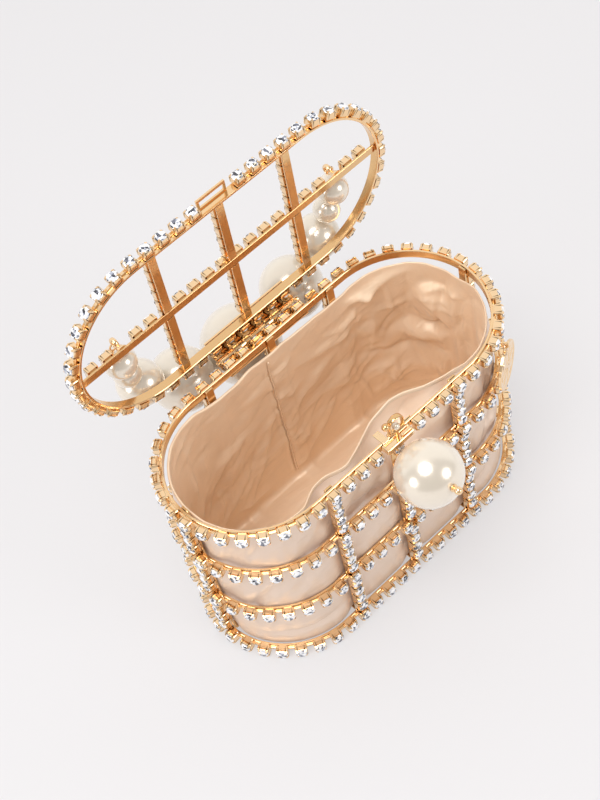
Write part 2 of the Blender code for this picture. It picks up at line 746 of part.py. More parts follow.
def build_rivet(rim, housing):
    """A plate inside the rim, and the rivet that holds it and the housing to the band."""
    face = -HALF_WIDTH + BAND_WALL + SEAT_GAP
    back = face + BACK_PLATE_THICKNESS
    right = (BAR_SPACING - BAR_WIDTH) / 2
    middle = right - BACK_PLATE_LENGTH / 2
    x = HOUSING_LENGTH / 2 - RIVET_HEAD_RADIUS
    z = RIM_TOP - BAND_HEIGHT / 2
    top = RIM_TOP - BAR_END_SETBACK
    low = Vector((BAR_WIDTH / 2 + SEAT_GAP, face, top - BACK_PLATE_HEIGHT))
    plate = solid("clasp_back_plate", box_shape(low, (low.x + BACK_PLATE_LENGTH, back, top)), gilt)
    start = Vector((x, back + OVERRUN, z))
    tip = Vector((x, -HALF_WIDTH - SEAT_GAP - HOUSING_DEPTH / 2, z))
    for piece in (rim, plate, housing):
        combine(piece, "DIFFERENCE", rod_shape(start, tip, RIVET_RADIUS + SEAT_GAP))
    head = SEAT_GAP + RIVET_HEAD_LENGTH
    length = back - tip.y - SEAT_GAP
    profile = [
        (0, head), (RIVET_HEAD_RADIUS / 2, head), (RIVET_HEAD_RADIUS, head - RIVET_HEAD_LENGTH / 2),
        (RIVET_HEAD_RADIUS, SEAT_GAP), (RIVET_RADIUS, SEAT_GAP), (RIVET_RADIUS, -length), (0, -length),
    ]
    turn = Vector((0, 1, 0)).to_track_quat("Z", "X")
    turned("clasp_rivet", profile, silver, None, (x, back, z), turn)


def build_turn_key(key, housing_low):
    """The key from its head down: a crossbar, an arch with a ball for the finger, a bead
    inside the arch, and a shaft through the housing to a washer and a peened end."""
    washer_top = housing_low - SEAT_GAP
    washer_low = washer_top - WASHER_THICKNESS
    end = housing_low - key_end() + WASHER_THICKNESS / 2
    half = Vector((KEY_HEAD_LENGTH / 2, KEY_HEAD_THICKNESS / 2, 0))
    head = solid("turn_key", box_shape(-half, half + Vector((0, 0, KEY_HEAD_HEIGHT))), gilt, key)
    shaft = rod_shape((0, 0, end), (0, 0, KEY_HEAD_HEIGHT / 2), KEY_SHAFT_RADIUS)
    peen = rod_shape((0, 0, end - WASHER_THICKNESS / 2), (0, 0, washer_low - SEAT_GAP), WASHER_RADIUS * 0.8)
    combine(head, "UNION", shaft, peen, *arch_shapes())
    washer = [
        (KEY_SHAFT_RADIUS + KEY_CLEARANCE, washer_top), (WASHER_RADIUS, washer_top),
        (WASHER_RADIUS, washer_low), (KEY_SHAFT_RADIUS + KEY_CLEARANCE, washer_low),
    ]
    turned("turn_key_washer", washer, gilt, key)
    place = (0, 0, KEY_HEAD_HEIGHT + SEAT_GAP + KEY_BEAD_RADIUS)
    turned("turn_key_bead", bead_profile(KEY_BEAD_RADIUS, 0), pearl, key, place)


def key_end():
    """How far the key's washer and peened end reach down under the housing."""
    return 2 * SEAT_GAP + 2.5 * WASHER_THICKNESS


def arch_shapes():
    """The key's arch, from its right leg over to its left shoulder, and the ball beside it."""
    radius = KEY_HEAD_LENGTH / 2 - KEY_ARCH_WIRE
    spring = KEY_HEAD_HEIGHT / 2 + KEY_ARCH_RISE - radius
    points = [Vector((radius, 0, KEY_HEAD_HEIGHT / 2))]
    for i in range(ARC_STEPS // 2 + 1):
        angle = 2 * math.pi * i / ARC_STEPS
        points.append(Vector((radius * math.cos(angle), 0, spring + radius * math.sin(angle))))
    ball = Vector((-KEY_BALL_REACH, 0, spring + KEY_BALL_RADIUS / 3))
    return [wire_shape(points, KEY_ARCH_WIRE), ball_shape(ball, KEY_BALL_RADIUS)]


def knob_direction():
    """Outwards along the knob's stem."""
    return Vector((0, -math.cos(KNOB_TILT), math.sin(KNOB_TILT)))


def knob_centre():
    """The middle of the knob's pearl."""
    return Vector((0, -BAR_FACE - KNOB_REACH, RIM_TOP - KNOB_DROP))


def stem_height():
    """Where the knob's stem crosses the front middle bar."""
    return knob_centre().z - math.tan(KNOB_TILT) * (KNOB_REACH + BAR_THICKNESS / 2)


# Knob: the stem's profile runs from the ball at its outer end to its head inside the bar
def build_knob(bar):
    centre, outward = knob_centre(), knob_direction()
    turn = outward.to_track_quat("Z", "Y")
    radius = KNOB_DIAMETER / 2
    inside = (KNOB_REACH + BAR_THICKNESS + SEAT_GAP) / math.cos(KNOB_TILT)
    inside += STEM_HEAD_RADIUS * math.tan(KNOB_TILT)
    neck = radius + KNOB_NECK
    ball = neck + KNOB_BALL_RADIUS * 0.8
    angles = [math.pi * i / 8 for i in range(7)]
    profile = [
        (KNOB_BALL_RADIUS * math.sin(angle), ball + KNOB_BALL_RADIUS * math.cos(angle))
        for angle in angles
    ]
    profile += [
        (KNOB_STEM_RADIUS, neck), (KNOB_STEM_RADIUS, -inside), (STEM_HEAD_RADIUS, -inside),
        (STEM_HEAD_RADIUS, -inside - STEM_HEAD_LENGTH), (0, -inside - STEM_HEAD_LENGTH),
    ]
    turned("knob_stem", profile, gilt, None, centre, turn)
    bore = KNOB_STEM_RADIUS + SEAT_GAP
    turned("knob_pearl", bead_profile(radius, bore), pearl, None, centre, turn)
    start = centre - outward * radius - bar.location
    end = centre - outward * (inside + OVERRUN) - bar.location
    combine(bar, "DIFFERENCE", rod_shape(start, end, bore))


# Medallion: a lug under the rim's band carries a plain bordered disc by its bail
def build_medallion():
    outward = Vector((math.cos(MEDALLION_ANGLE), math.sin(MEDALLION_ANGLE), 0))
    along = Vector((0, 0, 1)).cross(outward)
    corner = Vector((HALF_LENGTH - HALF_WIDTH, 0, 0))
    reach = HALF_WIDTH + CUP_DEPTH + MEDALLION_CLEARANCE + MEDALLION_THICKNESS / 2
    lug_top = RIM_TOP - BAND_HEIGHT - SEAT_GAP
    radius = LUG_HOLE_RADIUS + LUG_WALL
    axis = corner + outward * reach + Vector((0, 0, lug_top - radius))
    start = HALF_WIDTH - BAND_WALL / 2 - reach
    half = Vector((0, LUG_THICKNESS / 2, 0))
    turn = frame_matrix(Vector(), outward, along, Vector((0, 0, 1))).to_quaternion()
    lug = solid("medallion_lug", rod_shape(-half, half, radius), gilt, None, axis, turn)
    arm = box_shape(
        (start, -LUG_THICKNESS / 2, radius / 3), (0, LUG_THICKNESS / 2, radius)
    )
    past = half + Vector((0, OVERRUN, 0))
    combine(lug, "UNION", arm)
    combine(lug, "DIFFERENCE", rod_shape(-past, past, LUG_HOLE_RADIUS))
    drop = 2 * BAIL_RADIUS + MEDALLION_RADIUS - BAIL_WIRE / 2
    thickness = MEDALLION_THICKNESS
    inner = MEDALLION_RADIUS - MEDALLION_BORDER
    profile = [
        (0, thickness / 4), (inner, thickness / 4), (inner, thickness / 2),
        (MEDALLION_RADIUS, thickness / 2), (MEDALLION_RADIUS, -thickness / 2), (0, -thickness / 2),
    ]
    pivot = bpy.data.objects.new("medallion_axis", None)
    parts.objects.link(pivot)
    pivot.rotation_mode = "QUATERNION"
    pivot.rotation_quaternion = turn
    pivot.location = axis
    face = frame_matrix(Vector(), Vector((0, 1, 0)), Vector((0, 0, 1)), Vector((1, 0, 0)))
    disc = turned(
        "medallion", profile, gilt, pivot, (0, 0, -drop), face.to_quaternion(), FINE_STEPS
    )
    bail = ring_shape((0, drop - BAIL_RADIUS, 0), (0, 0, 1), BAIL_RADIUS, BAIL_WIRE)
    combine(disc, "UNION", bail)


lid_axis = bpy.data.objects.new("lid_axis", None)
parts.objects.link(lid_axis)
lid_axis.location = (0, HINGE_Y, HINGE_Z)
lid_axis.rotation_euler = (-LID_OPEN_ANGLE, 0, 0)

cage_rings, cage_bars = build_cage()
build_pouch()
build_lid(lid_axis)
build_hinge(lid_axis)
build_handle()
build_clasp(cage_rings["ring_rim"])
build_knob(cage_bars["front_bar_middle"])
build_medallion()
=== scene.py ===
"""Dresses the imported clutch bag: gilt bands with their chains of set crystals, a satin pouch,
a strand of pearls, the knob, the clasp and the medallion. Metres, in the frame's own axes."""

import json
import math

import bmesh
import bpy
import numpy as np
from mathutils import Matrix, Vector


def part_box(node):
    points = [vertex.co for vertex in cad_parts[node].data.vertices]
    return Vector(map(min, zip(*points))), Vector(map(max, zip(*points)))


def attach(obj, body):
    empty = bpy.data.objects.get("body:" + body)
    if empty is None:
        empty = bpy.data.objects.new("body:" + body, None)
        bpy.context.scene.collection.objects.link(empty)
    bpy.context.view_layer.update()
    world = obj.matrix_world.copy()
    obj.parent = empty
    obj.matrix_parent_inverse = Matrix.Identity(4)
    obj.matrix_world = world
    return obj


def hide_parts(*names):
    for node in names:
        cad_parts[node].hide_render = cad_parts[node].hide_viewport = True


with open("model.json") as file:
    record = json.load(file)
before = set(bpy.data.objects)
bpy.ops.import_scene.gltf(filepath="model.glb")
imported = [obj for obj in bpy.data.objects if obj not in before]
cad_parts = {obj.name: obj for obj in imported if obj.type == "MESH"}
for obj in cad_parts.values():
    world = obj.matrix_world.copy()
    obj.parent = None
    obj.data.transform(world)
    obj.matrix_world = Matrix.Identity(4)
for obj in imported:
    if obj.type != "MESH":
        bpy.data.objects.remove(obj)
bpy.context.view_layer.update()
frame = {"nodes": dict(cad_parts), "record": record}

# Camera. It looks down on the open bag from the front left, rolled a little, at the distance
# that the crowding of the far bars gives. The numbers were fitted to the picture's edges.
view_turn, view_rise, view_roll = np.radians((-31.05, 54.11, -14.98))
view_distance, view_right, view_up = 0.7597, -0.0281, 0.0533


def stand(obj, right, up, back, place):
    """Puts an object into the scene at a place, with its axes along three directions."""
    bpy.context.scene.collection.objects.link(obj)
    pose = np.eye(4)
    pose[:3] = np.stack((right, up, back, place), axis=1)
    obj.matrix_world = pose.T.tolist()


toward = np.array((
    math.sin(view_turn) * math.cos(view_rise), -math.cos(view_turn) * math.cos(view_rise),
    math.sin(view_rise),
))
level = np.array((math.cos(view_turn), math.sin(view_turn), 0))
upright = np.cross(toward, level)
sideways = math.cos(view_roll) * level + math.sin(view_roll) * upright
upward = math.cos(view_roll) * upright - math.sin(view_roll) * level
camera = bpy.data.objects.new("camera", bpy.data.cameras.new("camera"))
camera.data.lens = 71.81
stand(camera, sideways, upward, toward,
      view_right * sideways + view_up * upward + view_distance * toward)
bpy.context.scene.camera = camera


# Floor and light. The bag stands on a pale sweep that rises bright behind it, under a greyer
# ceiling. Three soft boxes hang in that: one overhead, one low on the left, one front right.
def feed(tree, node, sources):
    """Each of a node's inputs linked to a socket, or set to a value."""
    for socket, source in sources.items():
        if isinstance(source, bpy.types.NodeSocket):
            tree.links.new(source, node.inputs[socket])
        else:
            node.inputs[socket].default_value = source


def add_node(tree, kind, sources=(), **settings):
    """A node with its settings and with what feeds it."""
    node = tree.nodes.new(kind)
    for key, value in settings.items():
        setattr(node, key, value)
    feed(tree, node, dict(sources))
    return node


def add_ramp(tree, source, stops, interpolation="LINEAR"):
    """A socket's values as colours, through stops at places from 0 to 1."""
    node = add_node(tree, "ShaderNodeValToRGB", {"Fac": source})
    node.color_ramp.interpolation = interpolation
    elements = node.color_ramp.elements
    for number, (place, colour) in enumerate(stops):
        stop = elements[number] if number < 2 else elements.new(place)
        stop.position, stop.color = place, (*colour, 1)
    return node.outputs["Color"]


def new_material(name, **values):
    """A material with its node tree and its Principled shader, which takes the values."""
    material = bpy.data.materials.new(name)
    material.use_nodes = True
    shader = material.node_tree.nodes["Principled BSDF"]
    for socket, value in values.items():
        shader.inputs[socket.replace("_", " ")].default_value = value
    return material, material.node_tree, shader


def add_mesh(name, points, faces):
    """A mesh object at the origin from arrays of points and faces."""
    mesh = bpy.data.meshes.new(name)
    mesh.from_pydata(np.asarray(points).tolist(), [], [tuple(face) for face in faces])
    mesh.update()
    obj = bpy.data.objects.new(name, mesh)
    bpy.context.scene.collection.objects.link(obj)
    return obj


floor_reach = 6.0
square = np.array(((-1.0, -1.0), (1.0, -1.0), (1.0, 1.0), (-1.0, 1.0)))
floor = add_mesh("floor", np.column_stack((floor_reach * square, np.zeros(4))), [(0, 1, 2, 3)])
floor.data.materials.append(new_material(
    "pale_sweep", Base_Color=(0.34, 0.335, 0.342, 1), Roughness=0.9,
    Emission_Color=(1.0, 0.985, 0.992, 1), Emission_Strength=0.44,
)[0])

world = bpy.data.worlds.new("tent")
bpy.context.scene.world = world
world.use_nodes = True
tent = world.node_tree
tent_way, far_side = add_node(tent, "ShaderNodeTexCoord").outputs["Generated"], (0.516, 0.857, 0.0)
tent_back = add_node(
    tent, "ShaderNodeVectorMath", {0: tent_way, 1: far_side}, operation="DOT_PRODUCT"
)
tent_glow = add_ramp(
    tent, tent_back.outputs["Value"], ((0.02, (0.50, 0.48, 0.465)), (0.28, (0.98, 0.965, 0.955)))
)
feed(tent, tent.nodes["Background"], {"Color": tent_glow})

lamp_distance, lamp_aim = 1.5, (0, 0, 0.08)


def add_lamp(name, way, spread, level):
    """A round soft box that faces the bag from a direction: its radius is the distance times
    tan(spread), and its power gives the surface a brightness of level."""
    way = np.array(way) / np.linalg.norm(way)
    side = np.cross((0, 0, 1), way)
    side /= np.linalg.norm(side)
    lamp = bpy.data.lights.new(name, "AREA")
    lamp.shape = "DISK"
    lamp.size = 2 * lamp_distance * math.tan(math.radians(spread))
    lamp.energy = level * math.pi * math.pi * (lamp.size / 2) ** 2
    stand(bpy.data.objects.new(name, lamp), side, np.cross(way, side), way,
          lamp_aim + lamp_distance * way)


add_lamp("overhead_box", (-0.30, -0.13, 0.945), 20, 4.7)
add_lamp("left_box", (-0.968, 0.03, 0.27), 12, 4.6)
add_lamp("front_box", (0.39, -0.83, 0.40), 13, 4.4)
bpy.context.scene.view_settings.view_transform = "Standard"


# Gilt. Every metal piece is brass under a thin polished plating of warm light gold. The node
# group makes its faint clouding and its fine rubbed scratches, from the object's own places.
def new_group(name, inputs, outputs):
    """An empty shader node group with named sockets, what comes in, and the node it ends in."""
    group = bpy.data.node_groups.new(name, "ShaderNodeTree")
    for way, sockets in (("INPUT", inputs), ("OUTPUT", outputs)):
        for socket, kind in sockets.items():
            group.interface.new_socket(socket, in_out=way, socket_type=f"NodeSocket{kind}")
    start, end = (group.nodes.new(f"NodeGroup{way}") for way in ("Input", "Output"))
    return group, start.outputs, end


def own_places(tree):
    """The places of an object's surface, in metres."""
    return add_node(tree, "ShaderNodeTexCoord").outputs["Object"]


def add_clouds(tree, places, scale, detail=2.0, **values):
    """Cloudy values over places, so many to the metre."""
    sources = {"Vector": places, "Scale": scale, "Detail": detail, **values}
    return add_node(tree, "ShaderNodeTexNoise", sources).outputs["Fac"]


def add_mix(tree, share, one, other):
    """A colour that goes from one to another as a share goes from 0 to 1."""
    return add_node(tree, "ShaderNodeMix", {0: share, 6: one, 7: other}, data_type="RGBA").outputs[2]


def add_dents(tree, height, strength, distance, **values):
    """A normal dented by heights."""
    sources = {"Height": height, "Strength": strength, "Distance": distance, **values}
    return add_node(tree, "ShaderNodeBump", sources).outputs["Normal"]


plating, plating_in, plating_out = new_group(
    "gilt_plating",
    {"Bright": "Color", "Deep": "Color", "Polish": "Float"},
    {"Color": "Color", "Roughness": "Float", "Normal": "Vector"},
)
metal_place = own_places(plating)
metal_rub = add_clouds(plating, metal_place, 900.0, 4.0, Roughness=0.7)
metal_tone = add_mix(plating, add_clouds(plating, metal_place, 70.0, 3.0),
                     plating_in["Bright"], plating_in["Deep"])
metal_haze = add_node(
    plating, "ShaderNodeMath", {0: metal_rub, 1: 0.12, 2: plating_in["Polish"]},
    operation="MULTIPLY_ADD",
)
feed(plating, plating_out, {
    "Color": metal_tone, "Roughness": metal_haze.outputs[0],
    "Normal": add_dents(plating, metal_rub, 0.04, 0.0002),
})


def plated(name, bright, deep, polish):
    """A metal with the plating's clouding between two colours."""
    material, tree, shader = new_material(name, Metallic=1.0)
    colours = {"Bright": (*bright, 1), "Deep": (*deep, 1), "Polish": polish}
    coat = add_node(tree, "ShaderNodeGroup", colours, node_tree=plating).outputs
    feed(tree, shader, {
        "Base Color": coat["Color"], "Roughness": coat["Roughness"], "Normal": coat["Normal"],
    })
    return material


gilt = plated("gilt", (0.98, 0.71, 0.42), (0.94, 0.63, 0.33), 0.05)
# Painted shade: a darker, browner copy of the gilt. It stands for shade and dark reflections on the
# bands' inner faces, the bars and the key.
gilt_painted_shade = plated("gilt_painted_shade", (0.86, 0.58, 0.30), (0.78, 0.48, 0.22), 0.10)
gilt_cup = plated("gilt_cup", (0.98, 0.74, 0.47), (0.95, 0.66, 0.37), 0.04)
silver = plated("silver", (0.93, 0.92, 0.90), (0.84, 0.83, 0.81), 0.10)


# Bands. A flat gilt strip bent to a stadium and closed with a seam at the back, carrying a
# chain: square cups with folded claws, joined by short links, brazed to its outer face.
def grid_faces(rows, columns, loop_rows=False):
    """Quads between the neighbouring points of a grid. Each row closes on itself, and the last
    row meets the first where the rows loop."""
    index = np.arange(rows * columns).reshape(rows, columns)
    if loop_rows:
        index = np.vstack((index, index[:1]))
    index = np.hstack((index, index[:, :1]))
    quads = (index[:-1, :-1], index[:-1, 1:], index[1:, 1:], index[1:, :-1])
    return np.stack(quads, axis=-1).reshape(-1, 4)


def capped_faces(rows, columns):
    """A grid's quads, and a fan at each end to a pole: the last two points, first end first."""
    ring = np.arange(columns)
    ahead = np.roll(ring, -1)
    pole, last_row = rows * columns, (rows - 1) * columns
    low = np.column_stack((np.full(columns, pole), ahead, ring))
    high = np.column_stack((np.full(columns, pole + 1), ring + last_row, ahead + last_row))
    return [*grid_faces(rows, columns).tolist(), *low.tolist(), *high.tolist()]


def circle(angle):
    """Points of the unit circle at angles."""
    return np.column_stack((np.cos(angle), np.sin(angle)))


def stacked(outline, rows):
    """An outline stacked up Z, with its scale and its height for each row, and a pole at each
    end's height."""
    points = [
        np.column_stack((outline * scale, np.full(len(outline), height))) for scale, height in rows
    ]
    poles = [(0, 0, rows[0][1]), (0, 0, rows[-1][1])]
    return np.vstack((*points, poles)), capped_faces(len(rows), len(outline))


def keep_marks(obj, name, domain, values):
    """Values kept under a name at an object's points or faces, for its material."""
    marks = obj.data.attributes.new(name, "FLOAT", domain)
    marks.data.foreach_set("value", np.asarray(values, dtype=np.float32).ravel())


def merge_doubles(obj, distance=1e-6, turn_out=True):
    """An object's points merged where they meet, and its faces turned out where asked."""
    shape = bmesh.new()
    shape.from_mesh(obj.data)
    bmesh.ops.remove_doubles(shape, verts=shape.verts, dist=distance)
    if turn_out:
        bmesh.ops.recalc_face_normals(shape, faces=shape.faces)
    shape.to_mesh(obj.data)
    shape.free()
    obj.data.shade_smooth()


joints = {joint["name"]: joint for joint in frame["record"]["behaviour"]["joints"]}
hinge_place = np.array(joints["lid_hinge"]["pos_m"])
lid_open = -math.radians(joints["lid_hinge"]["range_deg"][1])


def at_rest(points, body):
    """Points as the bag stands open. The lid's are drawn shut, and turned about its hinge here:
    y' = y cos - z sin and z' = y sin + z cos."""
    if body != "lid":
        return points
    turn = np.array((
        (1, 0, 0), (0, math.cos(lid_open), -math.sin(lid_open)),
        (0, math.sin(lid_open), math.cos(lid_open)),
    ))
    return (points - hinge_place) @ turn.T + hinge_place


def make_piece(
    name, points, faces, body, materials, slot, stands_for=(), sharp=35, slots=0, marks=()
):
    """A finished piece: closed and turned out, with edges over an angle sharp, riding on a body
    and standing for the CAD nodes that it replaces."""
    obj = add_mesh(name, at_rest(points, body), faces)
    for material in materials:
        obj.data.materials.append(material)
    slots = np.broadcast_to(slots, len(faces)).astype(np.int32)
    obj.data.polygons.foreach_set("material_index", slots)
    for mark, values in dict(marks).items():
        keep_marks(obj, mark, "POINT", values)
    merge_doubles(obj)
    obj.data.set_sharp_from_angle(angle=math.radians(sharp))
    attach(obj, body)
    if stands_for:
        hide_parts(*stands_for)


band_wall, band_height, band_bevel = 0.0011, 0.0042, 0.00014
cup_reach, end_cup_reach = 0.0046, 0.00459
rim_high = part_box("ring_rim")[1]
band_half_length = rim_high[0] - end_cup_reach
band_half_width = rim_high[1] - cup_reach
band_straight = band_half_length - band_half_width
band_arc = math.pi * band_half_width
band_around = 4 * band_straight + 2 * band_arc


def stadium(run):
    """Points and outward directions at distances round the band from the front's middle to
    the right. Straights lie at y = -w and w, and half circles of radius w join them."""
    half_around = 2 * band_straight + band_arc
    side, left = np.divmod(np.asarray(run) + band_straight, half_around)
    flip = np.where(side % 2 == 0, 1.0, -1.0)
    angle = np.clip((left - 2 * band_straight) / band_half_width, 0, math.pi)
    outward = np.stack((flip * np.sin(angle), -flip * np.cos(angle), 0 * angle), axis=-1)
    centre = flip * (np.minimum(left, 2 * band_straight) - band_straight)
    points = outward * band_half_width
    points[:, 0] += centre
    return points, outward


def rounded_rectangle(inner, outer, low, high, bevel):
    """The eight corners of a rectangle with its corners cut, as depth and height pairs."""
    return np.array((
        (outer, low + bevel), (outer, high - bevel), (outer - bevel, high), (inner + bevel, high),
        (inner, high - bevel), (inner, low + bevel), (inner + bevel, low), (outer - bevel, low),
    ))


arc_parts = 44
arc_runs = band_straight + band_arc * np.linspace(0, 1, arc_parts + 1)
band_runs = np.concatenate((arc_runs, arc_runs + band_arc + 2 * band_straight))


def band_mesh(height):
    """The strip: a cut-cornered rectangle carried round the stadium. Its fifth side, the inner face,
    has the second material, the gilt darkened as painted shade."""
    low, high = height - band_height / 2, height + band_height / 2
    outline = rounded_rectangle(-band_wall, 0, low, high, band_bevel)
    points, outward = stadium(band_runs)
    rows = points[:, None] + outward[:, None] * outline[None, :, :1]
    rows[:, :, 2] += outline[None, :, 1]
    faces = grid_faces(len(rows), len(outline), loop_rows=True)
    sides = np.tile(np.arange(len(outline)), len(rows))
    return rows.reshape(-1, 3), faces, np.where(sides == 4, 1, 0)


cup_across, cup_tall, cup_deep = 0.0054, 0.0051, 0.0036
cup_pitch, bar_cup_pitch = 0.00815, 0.0070
cups_around = 2 * round(band_around / cup_pitch / 2)
claw_rows = ((0.0006, 0.00055, cup_deep - 0.0003), (0.00095, 0.00030, 0.0045))


def cup_shape():
    """One cup at the origin, facing +Z: a square with cut corners, stacked in rows from a narrow
    foot to an inner lip. Four claws lean from its corners over the stone, each square, at an
    inset, half a breadth and a height for its foot and its tip. The marks run from 0 to 1 across
    each side and up it."""
    half = np.array((cup_across, cup_tall)) / 2
    corner = np.roll(square, -1, axis=0)
    cut_back = 0.00028
    way = np.array(((0, -1), (1, 0), (0, 1), (-1, 0)))
    cuts = (corner * half - np.roll(way, -1, axis=0) * cut_back, corner * half - way * cut_back)
    # Each row's share of the square, its height and its mark up the side.
    rows = [
        (0.68, -0.0003, 0), (0.68, 0.0005, 0), (0.98, 0.0006, 0), (1.0, 0.0008, 0.1),
        (1.0, cup_deep - 0.0002, 1), (0.96, cup_deep, 1), (0.80, cup_deep, 0),
        (0.78, cup_deep - 0.0006, 0),
    ]
    points, faces = stacked(np.stack(cuts, axis=1).reshape(-1, 2), [row[:2] for row in rows])
    side = np.append(np.tile((0, 1), 4 * len(rows)), (0.5, 0.5))
    rise = np.append(np.repeat([row[2] for row in rows], 8), (0, 0))
    claws = np.stack([
        np.dstack((corner[:, None] * (half - inset) + square * reach, np.full((4, 4), height)))
        for inset, reach, height in claw_rows
    ], axis=1)
    box = [(3, 2, 1, 0), (4, 5, 6, 7), (0, 1, 5, 4), (1, 2, 6, 5), (2, 3, 7, 6), (3, 0, 4, 7)]
    faces += [tuple(len(points) + 8 * n + i for i in face) for n in range(4) for face in box]
    marks = {"side": np.append(side, np.full(32, 0.5)), "rise": np.append(rise, np.zeros(32))}
    return np.vstack((points, claws.reshape(-1, 3))), faces, marks


cup_points, cup_faces, cup_marks = cup_shape()


def mark_of(tree, name):
    """The values that a piece keeps under a name."""
    return add_node(tree, "ShaderNodeAttribute", attribute_name=name).outputs["Fac"]


# The cups' finish: the same plating, with painted shade: a dark line drawn down each side next to its
# claws, for the shadow in a slit.
slit_tree = gilt_cup.node_tree
slit_shader = slit_tree.nodes["Principled BSDF"]
slit_coat = slit_shader.inputs["Base Color"].links[0].from_socket
slit_places = (
    (0.0, 0), (0.09, 0), (0.12, 1), (0.19, 1), (0.22, 0), (0.78, 0), (0.81, 1), (0.88, 1), (0.91, 0)
)
slit_across = add_ramp(
    slit_tree, mark_of(slit_tree, "side"), [(place, (dark, dark, dark)) for place, dark in slit_places]
)
slit_shade_mask = add_node(
    slit_tree, "ShaderNodeMath", {0: slit_across, 1: mark_of(slit_tree, "rise")}, operation="MULTIPLY"
)
# Painted shade: the near-black colour of the slit lines.
slit_painted_shade = add_mix(slit_tree, slit_shade_mask.outputs[0], slit_coat, (0.10, 0.05, 0.018, 1))
feed(slit_tree, slit_shader, {"Base Color": slit_painted_shade})

link_half_tall, link_bite = 0.0006, 0.0004


def link_shape(gap):
    """One link at the origin: a low block with cut edges that joins two cups over a gap."""
    half = np.array(((gap + link_bite) / 2, link_half_tall))
    return stacked(square * half, [(1.0, -0.0003), (1.0, 0.0006), (0.8, 0.0008)])


stone_radius, stone_table = 0.00268, 0.00485


def stone_shape():
    """One brilliant at the origin, facing +Z. Rings of eight points, each turned half a step
    on from the one below, give its kite and star facets, and eight more meet on its table. Each
    ring has a share of the stone's radius and a height."""
    rows = [(0.72, 0.0028), (1.0, 0.0037), (1.0, 0.0040), (0.84, 0.0045), (0.54, 0.0049)]
    step = np.arange(8)
    points, faces = [], [tuple(step[::-1])]
    for number, (share, height) in enumerate(rows):
        ring = circle(np.pi / 4 * (step + number / 2)) * stone_radius * share
        points.append(np.column_stack((ring, np.full(8, height))))
        high = step + 8 * number
        ahead = np.roll(high, -1)
        if number:
            faces += np.column_stack((high - 8, ahead - 8, high)).tolist()
            faces += np.column_stack((ahead - 8, ahead, high)).tolist()
    faces += np.column_stack((high, ahead, np.full(8, 8 * len(rows)))).tolist()
    return np.vstack((*points, [(0, 0, stone_table)])), faces


def set_along(shape, seats, along, outward):
    """Copies of a shape, each point at seat + x along + y across + z outward."""
    points, faces = shape
    seats, along, outward = np.broadcast_arrays(
        *(np.atleast_2d(np.asarray(way, dtype=float)) for way in (seats, along, outward))
    )
    basis = np.stack((along, np.cross(outward, along), outward), axis=1)
    copies = seats[:, None] + np.einsum("mk,nkj->nmj", points, basis)
    shifted = [tuple(i + len(points) * n for i in face) for n in range(len(seats)) for face in faces]
    return copies.reshape(-1, 3), shifted


def join(*shapes):
    """Several shapes as one."""
    points, faces, start = [], [], 0
    for some, polygons in shapes:
        points.append(np.asarray(some))
        faces += [tuple(int(i) + start for i in face) for face in polygons]
        start += len(some)
    return np.vstack(points), faces


# Stones. Each is a clear glass brilliant with foil behind it. Its facets' flashes, white, grey,
# blue or near black by chance, are painted reflections in the base colour; its table's facets, which
# look into the foil, get the darker ones.
crystal, crystal_tree, crystal_shader = new_material(
    "crystal", Roughness=0.05, Metallic=0.25, IOR=1.8, Coat_Weight=1.0, Coat_Roughness=0.02
)
painted_glint_steps = (
    (0.0, (0.02, 0.022, 0.035)), (0.13, (0.14, 0.15, 0.20)), (0.26, (0.42, 0.45, 0.54)),
    (0.42, (0.80, 0.82, 0.87)), (0.60, (0.97, 0.97, 0.98)), (0.96, (0.93, 0.84, 0.62)),
)
# Painted reflections: each facet's base colour is stepped from its chance value.
painted_glint = add_ramp(crystal_tree, mark_of(crystal_tree, "facet"), painted_glint_steps, "CONSTANT")
feed(crystal_tree, crystal_shader, {"Base Color": painted_glint})
facet_chance = np.random.default_rng(7)
dark_facets = 0.30


def make_stones(name, seats, along, outward, body):
    """The stones of a row of cups, each facet with its own chance brightness v, a painted
    reflection. On the crown a value over the dark share becomes dark + 0.68 v. One half of the
    table, turned by chance, has dark v, and the other half has 0.28 + 0.66 v."""
    shape = stone_shape()
    points, faces = set_along(shape, seats, along, outward)
    obj = add_mesh(name, at_rest(points, body), faces)
    obj.data.materials.append(crystal)
    values = facet_chance.random((len(seats), len(shape[1])))
    crown, table = values[:, 1:-8], values[:, -8:]
    crown[:] = np.where(crown < dark_facets, crown, dark_facets + 0.68 * crown)
    turn = (np.arange(8) - facet_chance.integers(0, 8, (len(values), 1))) % 8
    table[:] = np.where(turn < 4, dark_facets * table, 0.28 + 0.66 * table)
    keep_marks(obj, "facet", "FACE", values)
    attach(obj, body)


# Chain. The cups go round each band in one row, brazed along its middle, or a little off it
# where two bands meet, with a stone clawed into each and a link from each to the next.
def ring_seats(runs, height):
    """Seats at distances round a band, with the directions along it and outward."""
    seats, outward = stadium(runs)
    seats[:, 2] = height
    return seats, np.cross((0, 0, 1), outward), outward


def make_chained(node, strip, strip_slots, metals, cups, links, gap, body):
    """A strip and its chain as one piece, and its stones as a second. Cups and links are seats
    with their directions along the strip and outward."""
    link_copies = set_along(link_shape(gap), *links)
    points, faces = join(strip, set_along((cup_points, cup_faces), *cups), link_copies)
    slots = np.full(len(faces), len(metals) - 1)
    slots[: len(strip[1])] = strip_slots
    marks = {
        name: np.concatenate((
            np.full(len(strip[0]), rest), np.tile(cup_marks[name], len(cups[0])),
            np.full(len(link_copies[0]), rest),
        ))
        for name, rest in (("side", 0.5), ("rise", 0.0))
    }
    make_piece(f"{node}_gilt", points, faces, body, metals, "gilt", [node], slots=slots, marks=marks)
    make_stones(f"{node}_stones", *cups, body)


